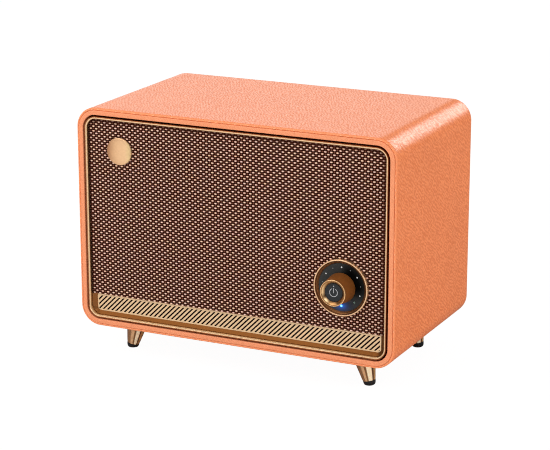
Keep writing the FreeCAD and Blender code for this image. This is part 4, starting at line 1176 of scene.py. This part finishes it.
def knob():
    """Barrel, polished rim and black cap; the barrel is hollow behind."""
    back, seat = KNOB_BACK, KNOB_FRONT + 0.82
    profile = round_poly([
        (KNOB_R, back, 0.25), (KNOB_RIM_R, seat, 0.10), (8.0, seat), (8.0, CAP_Y + 0.25),
        (6.12, CAP_Y + 0.25), (6.12, CAP_Y + 1.1), (3.02, CAP_Y + 1.1), (3.02, back - 0.4),
        (5.22, back - 0.4), (5.22, back - 4.0), (KNOB_R - 1.4, back - 4.0),
        (KNOB_R - 1.4, back, 0.15)])
    place(lathe("knob_barrel", DIAL_X, DIAL_Z, profile, knob_side_copper(), 144),
          "knob_copper", "knob_body", body="volume_knob")
    front = KNOB_FRONT
    profile = round_poly([
        (KNOB_RIM_R, front + 0.78, 0.05), (KNOB_RIM_R, front, 0.22),
        (KNOB_RIM_R - 0.42, front, 0.12), (KNOB_RIM_R - 0.56, front + 0.40, 0.05),
        (KNOB_RIM_R - 0.76, front + 0.40, 0.05), (KNOB_RIM_R - 0.90, front + 0.14, 0.12),
        (6.15, front + 1.62, 0.10), (6.15, front + 1.9), (7.95, front + 1.9),
        (7.95, front + 0.78)])
    place(lathe("knob_rim", DIAL_X, DIAL_Z, profile, knob_rim_gold(), 144, sharp=50),
          "knob_gold", "knob_ring", body="volume_knob")
    profile = round_poly([
        (0.0, CAP_Y), (6.05, CAP_Y + 0.02, 0.16), (6.05, CAP_Y + 1.0), (0.0, CAP_Y + 1.0)], 4)
    black = plastic("cap_black_satin", (0.018, 0.020, 0.022), rough=0.40, spark=0.008,
                    grain=0.3, spec=0.2)
    place(lathe("knob_face", DIAL_X, DIAL_Z, profile, black, sharp=50),
          "dial_black", "knob_cap", body="volume_knob")


dial_ring()
knob()

# ------------------------------------------------------------------------------------------------
# feet and rubber tips: four mirrored cones on splayed axes
# ------------------------------------------------------------------------------------------------
FOOT_TOP_X, FOOT_TOP_R = 84.2, 7.7
FOOT_LOW_X, FOOT_LOW_R = 88.3, 4.2
FOOT_YS = (-36.35, 48.4)
FOOT_LOW_Z, FOOT_TOP_Z = (corner.z for corner in box_mm("feet"))
FOOT_SPLAY, FOOT_DROP = FOOT_LOW_X - FOOT_TOP_X, FOOT_TOP_Z - FOOT_LOW_Z
FOOT_AXIS = math.hypot(FOOT_SPLAY, FOOT_DROP)
FOOT_END = FOOT_AXIS - 0.35
FOOT_REFLECTION_TONES = [                        # (turns of the reflected direction about Z, colour)
    (0.000, (0.45, 0.26, 0.11)), (0.022, (0.11, 0.045, 0.018)), (0.075, (0.12, 0.05, 0.02)),
    (0.105, (0.50, 0.29, 0.105)), (0.28, (0.46, 0.26, 0.10)), (0.34, (0.22, 0.10, 0.038)),
    (0.60, (0.28, 0.15, 0.066)), (0.645, (0.67, 0.42, 0.22)), (0.728, (0.65, 0.41, 0.21)),
    (0.755, (0.21, 0.10, 0.034)), (0.805, (0.24, 0.115, 0.04)), (0.837, (1.0, 0.92, 0.64)),
    (0.96, (1.0, 0.90, 0.62))]


def foot_gold():
    """Lengthwise brushed gold, with tall light and dark bands of painted reflection set by the
    reflected direction.
    """
    mat = Material("brushed_foot_gold")
    x, y, _ = mat.xyz(mat.node("ShaderNodeTexCoord", out="Reflection"))
    turns = mat.div(mat.math("ARCTAN2", y, x), 2 * math.pi)
    turns = mat.math("FRACT", mat.add(turns, 1.0))
    brush = mat.streaks((5.0, 5.0, 0.2))
    turns = mat.add(turns, mat.mul(mat.sub(brush, 0.5), 0.02))
    return mat.set(Base_Color=mat.ramp(turns, FOOT_REFLECTION_TONES), Metallic=0.2, Roughness=0.34,
                   Normal=mat.bump(brush, 0.004), Specular_IOR_Level=0.3)


def splayed(name, stations, material, sharp, slot, node):
    """Four turned solids; stations are (distance down the foot's axis, radius)."""
    sides = 72
    verts, faces = [], []
    for side in (-1, 1):
        for y in FOOT_YS:
            top = Vector((side * FOOT_TOP_X, y, FOOT_TOP_Z))
            axis = Vector((side * FOOT_LOW_X, y, FOOT_LOW_Z)) - top
            axis.normalize()
            depthwise = Vector((0, 1, 0))
            crosswise = axis.cross(depthwise)
            faces += tube_faces(len(stations), sides, len(verts))
            for down, r in stations:
                for k in range(sides):
                    t = 2 * math.pi * k / sides
                    point = (top + axis * down + depthwise * (r * math.cos(t))
                             + crosswise * (r * math.sin(t)))
                    if point.z > FOOT_TOP_Z:      # flush with the underside of the cabinet
                        point = point + axis * ((point.z - FOOT_TOP_Z) / -axis.z)
                    point.z = max(point.z, 0.0)
                    verts.append(tuple(point))
    place(put_mesh(name, verts, faces, material, merge=0.0005, sharp=sharp), slot, node)


def foot_radius(down):
    return FOOT_TOP_R + (FOOT_LOW_R - FOOT_TOP_R) * down / FOOT_AXIS


def feet():
    end_r = foot_radius(FOOT_END)
    stations = [(0.0, FOOT_TOP_R - 0.1), (0.12, FOOT_TOP_R)]
    stations += [(FOOT_END * k / 12, foot_radius(FOOT_END * k / 12)) for k in range(1, 12)]
    stations += [(FOOT_END - 0.35, end_r), (FOOT_END - 0.10, end_r - 0.06),
                 (FOOT_END, end_r - 0.25)]
    splayed("turned_feet", stations, foot_gold(), 40, "foot_gold", "feet")


def rubber_tips():
    top, top_r, steps = FOOT_END + 0.06, FOOT_LOW_R - 0.03, 14
    reach = FOOT_LOW_Z / math.cos(math.atan2(FOOT_SPLAY, FOOT_DROP)) + 0.35
    stations = [(FOOT_END - 0.3, FOOT_LOW_R - 0.9), (FOOT_END - 0.02, FOOT_LOW_R - 0.25),
                (top, top_r)]
    for k in range(1, steps + 1):
        t = k / steps * math.pi / 2
        stations.append((top + (reach + 0.55) * math.sin(t) ** 1.1,
                         top_r * math.cos(t * 0.9) ** 0.42))
    splayed("rubber_tips", stations, RUBBER, 60, "rubber_black", "foot_tips")


feet()
rubber_tips()


# ------------------------------------------------------------------------------------------------
# rear: bass port and buttons
# ------------------------------------------------------------------------------------------------
def bass_port():
    centre_x, centre_z, _, front, _ = disc_mm("bass_port")
    bore, panel = 12.0, box_mm("rear_panel")[1].y
    profile = [(bore, front), (bore + 1, front), (bore + 1, panel + 0.05),
               (bore + 4.5, panel + 0.05), (bore + 4.5, panel + 0.7)]
    for k in range(1, 9):             # rounded outer edge
        t = math.pi / 2 * k / 8
        profile.append((bore + 3.7 + 0.8 * math.cos(t), panel + 0.7 + 0.6 * math.sin(t)))
    for k in range(12):               # flare into the bore
        t = math.pi / 2 * k / 11
        profile.append((bore + 3.4 - 3.4 * math.sin(t), panel + 1.3 - 6.0 * (1 - math.cos(t))))
    place(lathe("flared_port", centre_x, centre_z, profile, BLACK, sharp=45),
          "black_plastic", "bass_port")


def button(node):
    """Cap with a rounded edge and a slightly dished end."""
    centre_x, centre_z, _, front, back = disc_mm(node)
    stem, flange, cap, dish = 2, 4.3, 3.5, 3.1
    profile = [(0, front), (stem, front), (stem, front + 0.7), (flange, front + 0.7),
               (flange, front + 2.0), (cap, front + 2.0), (cap, back - 0.42)]
    for k in range(1, 6):
        t = math.pi / 2 * k / 5
        profile.append((cap - 0.4 * (1 - math.cos(t)), back - 0.42 + 0.40 * math.sin(t)))
    for k in range(1, 8):
        r = dish * (1 - k / 7)
        profile.append((r, back - 0.02 - 0.26 * (1 - (r / dish) ** 2)))
    place(lathe(node + "_cap", centre_x, centre_z, profile, RUBBER, 64, sharp=45),
          "rubber_black", node, body=node)


bass_port()
for button_node in ("mode_button", "track_back_button", "track_next_button"):
    button(button_node)


# ------------------------------------------------------------------------------------------------
# loudspeaker surrounds and spiders
# ------------------------------------------------------------------------------------------------
def flexing(name, node, centre, profile, material):
    """Turned piece that takes the place of a CAD node."""
    piece = lathe(name, *centre, profile, material, sharp=60)
    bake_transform(piece)
    points = np.zeros(len(piece.data.vertices) * 3, np.float32)
    piece.data.vertices.foreach_get("co", points)
    points = points.reshape(-1, 3).astype(float) * 1000
    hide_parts(node)


def driver_flex(side, spider_cloth):
    """Half-roll surround and corrugated spider of one driver."""
    *centre, _, _, back = disc_mm(side + "_surround")
    back += 0.05
    roll_r, roll_steps = 26.6, 16
    outer, inner = [], []
    for k in range(roll_steps + 1):
        t = math.pi * k / roll_steps
        outer.append((roll_r - 2.45 * math.cos(t), back - 0.75 - 2.5 * math.sin(t)))
        inner.append((roll_r - 1.85 * math.cos(t), back - 0.45 - 2.2 * math.sin(t)))
    profile = [(24.12, back - 0.35)] + outer + [
        (29.2, back - 0.7), (30.8, back - 0.7), (30.8, back - 0.05), (28.6, back - 0.05)]
    flexing(side + "_rubber_roll", side + "_surround", centre, profile + inner[::-1],
            RUBBER)

    front = box_mm(side + "_spider")[0].y
    bore, rim, steps, pitch, height = 9.72, 18.4, 40, 1.9, 0.20
    near, far = [], []
    for k in range(steps + 1):
        r = bore + (rim - bore) * k / steps
        wave = height * math.sin(2 * math.pi * (r - bore) / pitch) if 0 < k < steps else 0.0
        near.append((r, front + 0.2 + wave))
        far.append((r, front + 0.4 + wave))
    flexing(side + "_corrugated_spider", side + "_spider", centre, near + far[::-1],
            spider_cloth)


SPIDER_CLOTH = fleece("resin_cotton", (0.45, 0.24, 0.07))
for driver_side in ("left", "right"):
    driver_flex(driver_side, SPIDER_CLOTH)


# ------------------------------------------------------------------------------------------------
# finishes for the CAD nodes that stay as they are
# ------------------------------------------------------------------------------------------------
def surround_copper():
    """Satin copper brown for the strip's surround; faces turned to +X are paler with painted light.
    """
    mat = Material("copper_brown_satin")
    brush = mat.streaks((0.2, 2.0, 2.0))
    normal_x, _, _ = mat.xyz(mat.node("ShaderNodeNewGeometry", out="Normal"))
    colour = mat.mix(brush, (0.138, 0.049, 0.012), (0.166, 0.059, 0.015))
    # painted light on faces turned to +X
    colour = mat.mix(mat.smooth(normal_x, 0.25, 0.8), colour, (0.42, 0.165, 0.055))
    return mat.set(Base_Color=colour, Metallic=1.0, Roughness=0.40)


def dial_black():
    """Satin black face with a painted shadow of the knob towards the upper right, and a painted blue
    glow round the indicator.
    """
    mat = Material("dial_black_satin")
    x, _, z = mat.xyz(mat.mm)
    # painted glow: blue emission fading out from the indicator
    from_lens_x, from_lens_z = mat.sub(x, LENS.x), mat.sub(z, LENS.z)
    oval = mat.math("SQRT", mat.add(mat.mul(from_lens_x, mat.mul(from_lens_x, 0.45)),
                                    mat.mul(from_lens_z, from_lens_z)))
    glow = mat.math("POWER", 2.718, mat.mul(oval, -0.90))
    radius = mat.radius(x, z, DIAL_X, DIAL_Z)
    rings = mat.noise(mat.combine(mat.mul(radius, 5.0), 0.0, 0.0))
    fine = mat.noise(mat.mm, scale=3.0, rough=0.6)
    colour = mat.mix(mat.linear(rings, 0.3, 0.7), (0.021, 0.022, 0.021), (0.030, 0.031, 0.029))
    # painted shadow of the knob towards the upper right, fading towards the rim
    knob_shadow_side = mat.div(mat.add(mat.mul(mat.sub(x, DIAL_X), 0.85),
                                  mat.mul(mat.sub(z, DIAL_Z), 0.53)), radius)
    outward = mat.linear(radius, 12.5, 16.5, to=(0.0, 0.25))
    lit = mat.add(mat.smooth(knob_shadow_side, 0.30, 0.90, to=(0.80, 0.04)), outward, clamp=True)
    return mat.set(Base_Color=mat.mix(lit, (0.001, 0.001, 0.001), colour), Roughness=0.42,
                   Normal=mat.bump(fine, 0.012), Specular_IOR_Level=mat.mul(lit, 0.22),
                   Emission_Color=(0.006, 0.15, 0.80), Emission_Strength=mat.mul(glow, 1.25))


def lens_glow():
    mat = Material("lit_blue_lens")
    x, _, z = mat.xyz(mat.mm)
    core = mat.smooth(mat.radius(x, z, LENS.x, LENS.z), 0.0, 0.85, to=(1.0, 0.0))
    rough = mat.add(0.15, mat.mul(mat.noise(mat.mm, scale=2.0), 0.1))
    return mat.set(Base_Color=(0.1, 0.3, 0.9), Roughness=rough,
                   Emission_Color=mat.mix(core, (0.02, 0.30, 1.0), (0.25, 0.80, 1.0)),
                   Emission_Strength=mat.add(1.3, mat.mul(core, 1.6)))


def ink(mat, colour, fleck, glow):
    # glow: a faint painted glow in the print's own colour
    return mat.set(Base_Color=colour, Roughness=0.4, Normal=mat.bump(fleck, 0.01),
                   Emission_Color=colour, Emission_Strength=glow)


def dial_ink():
    """White dots: every second one is dimmer, and the end signs are greenish."""
    mat = Material("dial_print")
    dot_angle, end_angle = 27.0, 122.0            # degrees from the top
    x, _, z = mat.xyz(mat.mm)
    angle = mat.math("ARCTAN2", mat.sub(x, DIAL_X), mat.sub(z, DIAL_Z))
    degrees = mat.math("ABSOLUTE", mat.mul(angle, 57.29578))
    odd = mat.math("MODULO", mat.math("ROUND", mat.div(degrees, dot_angle)), 2.0)
    end = mat.math("GREATER_THAN", degrees, end_angle)
    fleck = mat.noise(mat.mm, scale=4.0)
    colour = mat.mix(odd, (0.50, 0.51, 0.50), (0.10, 0.11, 0.11))
    colour = mat.mix(end, colour, (0.14, 0.24, 0.18))
    colour = mat.mix(mat.mul(fleck, 0.1), colour, (0.5, 0.5, 0.5))
    return ink(mat, colour, fleck, glow=0.08)


def symbol_ink():
    mat = Material("symbol_print")
    grey = (0.36, 0.36, 0.37)
    fleck = mat.noise(mat.mm, scale=4.0)
    return ink(mat, mat.mix(fleck, tint(grey, 0.9), grey), fleck, glow=0.04)


CONE = cone_paper()
FINISHES = [                          # (material, CAD nodes)
    (wood("fibreboard", (0.42, 0.27, 0.15), (0.55, 0.38, 0.22)), ["cabinet_shell"]),
    (wood("stained_fibreboard", (0.045, 0.03, 0.022), (0.07, 0.048, 0.035)), ["front_baffle"]),
    (plastic("dark_brown_frame", (0.060, 0.014, 0.006), rough=0.6, spec=0.1), ["grille_frame"]),
    (plastic("dark_rear_plastic", (0.028, 0.024, 0.022), rough=0.55, spark=0.05, grain=0.5),
     ["rear_panel"]),
    (plastic("cell_sleeve", (0.03, 0.11, 0.33), rough=0.28, spark=0.01, grain=1.5, coat=0.4),
     ["battery_cells"]),
    (plastic("cable_sleeve", (0.04, 0.04, 0.042), rough=0.45, spark=0.02),
     ["aerial_wire", "speaker_cables"]),
    (plastic("ferrite_ceramic", (0.045, 0.045, 0.05), rough=0.55, spark=0.08, grain=0.8),
     ["left_magnet", "right_magnet"]),
    (metal("enamelled_copper", (0.72, 0.30, 0.11), rough=0.3, brush=(0.5, 6, 0.5), bump=0.05),
     ["left_voice_coil", "right_voice_coil"]),
    (surround_copper(), ["strip_surround"]),
    (dial_black(), ["dial_face"]),
    (dial_ink(), ["dial_marks"]),
    (lens_glow(), ["indicator_lens"]),
    (symbol_ink(), ["power_symbol"]),
    (circuit_board(), ["control_board", "main_board"]),
    (CONE, ["left_cone", "right_cone", "left_dust_cap", "right_dust_cap"]),
    (BLACK, ["encoder_plunger", "aux_jack", "battery_cradle"]),
    (DARK_STEEL, ["baffle_screws", "rear_screws", "left_basket", "right_basket"]),
    (STEEL, ["driver_screws", "encoder_shaft", "encoder_body", "encoder_nut", "usb_socket",
             "foot_screws", "left_pole_plates", "right_pole_plates"]),
]
for finish, finished_nodes in FINISHES:
    for cad_node in finished_nodes:
        slots = NODES[cad_node].data.materials
        slots.clear()
        slots.append(finish)

EDGE_WIDTHS = {"rear_panel": 0.25, "rear_screws": 0.18, "usb_socket": 0.06, "aux_jack": 0.2}
for cad_node, edge_width in EDGE_WIDTHS.items():
    weld = NODES[cad_node].modifiers.new("weld", "WELD")
    weld.merge_threshold = 1e-6
    edges = NODES[cad_node].modifiers.new("edges", "BEVEL")
    edges.width = edge_width * MM
    edges.segments = 2
    edges.limit_method = "ANGLE"
    edges.angle_limit = math.radians(40)
    edges.harden_normals = True


# ------------------------------------------------------------------------------------------------
# floor, world, lights and camera, in metres
# ------------------------------------------------------------------------------------------------
BACKDROP = 1.02                       # brightness of floor and world as the camera sees them


def pale_floor():
    """Floor that glows for the camera, and can be seen through from below."""
    mat = Material("pale_floor")
    _, y, _ = mat.xyz(mat.mm)
    camera_ray, glossy_ray = mat.node("ShaderNodeLightPath",
                                      out=("Is Camera Ray", "Is Glossy Ray"))
    seen = mat.mix(mat.noise(mat.mm, scale=0.004), (0.93, 0.93, 0.93), (0.95, 0.95, 0.95))
    # in reflections it darkens from front to back
    mirrored = mat.mix(mat.smooth(y, -170.0, 60.0), (0.86, 0.86, 0.86), (0.22, 0.22, 0.22))
    mat.set(Base_Color=mat.mix(glossy_ray, seen, mirrored), Roughness=0.8,
            Specular_IOR_Level=0.1)
    glow = mat.node("ShaderNodeEmission", {"Color": (1.0, 1.0, 1.0), "Strength": BACKDROP})
    lit = mat.node("ShaderNodeMixShader", {
        0: mat.mul(camera_ray, 0.95), 1: mat.shader.outputs[0], 2: glow})
    below = mat.mul(camera_ray, mat.node("ShaderNodeNewGeometry", out="Backfacing"))
    clear = mat.node("ShaderNodeBsdfTransparent")
    surface = mat.node("ShaderNodeMixShader", {0: below, 1: lit, 2: clear})
    mat.feed(mat.tree.nodes["Material Output"].inputs["Surface"], surface)
    return mat.material


def floor():
    half = 9.0
    mesh = bpy.data.meshes.new("floor")
    corners = [(-half, -half, 0), (half, -half, 0), (half, half, 0), (-half, half, 0)]
    mesh.from_pydata(corners, [], [(0, 1, 2, 3)])
    made = add_object("floor", mesh)
    mesh.materials.append(pale_floor())


def studio_world():
    """Soft white room, with brighter patches that only reflections see."""
    world = bpy.data.worlds.new("studio")
    bpy.context.scene.world = world
    world.use_nodes = True
    graph = Graph(world.node_tree, idle=0.5)
    camera_ray, glossy_ray = graph.node("ShaderNodeLightPath",
                                        out=("Is Camera Ray", "Is Glossy Ray"))
    direction = graph.node("ShaderNodeTexCoord", out="Generated")
    x, y, z = graph.xyz(direction)
    room = graph.smooth(z, -1.0, 1.0, to=(0.62, 0.82))
    # bright behind on the left, and overhead
    shiny = graph.mul(graph.smooth(y, 0.35, 0.8, to=(0.0, 1.2)),
                      graph.smooth(x, -0.33, -0.26, to=(1.0, 0.0)))
    shiny = graph.add(graph.add(shiny, 0.24), graph.smooth(z, 0.6, 0.95, to=(0.0, 0.9)))
    panels = [                        # (direction, cosine at the edge and inside, strength)
        ((0.26, 0.88, 0.39), 0.955, 0.979, 4.4),     # behind, a little to the right
        ((0.49, -0.60, 0.63), 0.965, 0.99, 1.8)]     # in front on the right
    for towards, edge, inside, strength in panels:
        cosine = graph.node("ShaderNodeVectorMath", {
            0: direction, 1: Vector(towards).normalized()}, out="Value", operation="DOT_PRODUCT")
        shiny = graph.add(shiny, graph.smooth(cosine, edge, inside, to=(0.0, strength)))
    unseen = graph.lerp(glossy_ray, room, shiny)
    background = graph.tree.nodes["Background"]
    graph.feed(background.inputs["Color"], (1.0, 1.0, 1.0))
    graph.feed(background.inputs["Strength"], graph.lerp(camera_ray, unseen, BACKDROP))


def softbox(name, position, power, width, height=None):
    light = bpy.data.lights.new(name, "AREA")
    light.energy = power
    light.size = width
    if height:
        light.shape = "RECTANGLE"
        light.size_y = height
    made = add_object(name, light)
    made.location = position
    aim = Vector((0, 0, 0.09)) - Vector(position)
    made.rotation_euler = aim.to_track_quat("-Z", "Y").to_euler()


def camera():
    """Camera in front on the right, looking down at the cabinet."""
    data = bpy.data.cameras.new("camera")
    data.sensor_width = 36.0
    data.lens = 133.597
    data.clip_start = 0.01
    made = add_object("camera", data)
    azimuth, elevation = math.radians(25.6568), math.radians(15.5606)
    backwards = Vector((math.sin(azimuth) * math.cos(elevation),
                        -math.cos(azimuth) * math.cos(elevation), math.sin(elevation)))
    made.location = (0.576988, -1.196031, 0.457829)
    made.rotation_euler = (-backwards).to_track_quat("-Z", "Y").to_euler()
    bpy.context.scene.camera = made


floor()
studio_world()
softbox("key_softbox", (-0.75, -1.25, 1.15), power=17.0, width=1.25)
softbox("right_softbox", (1.45, -0.25, 0.75), power=4.6, width=0.45, height=0.8)
softbox("back_softbox", (0.42, 1.42, 0.74), power=3.5, width=0.85, height=0.55)
camera()
bpy.context.scene.view_settings.view_transform = "Standard"
bpy.context.scene.view_settings.look = "None"
bpy.context.scene.cycles.filter_width = 1.05
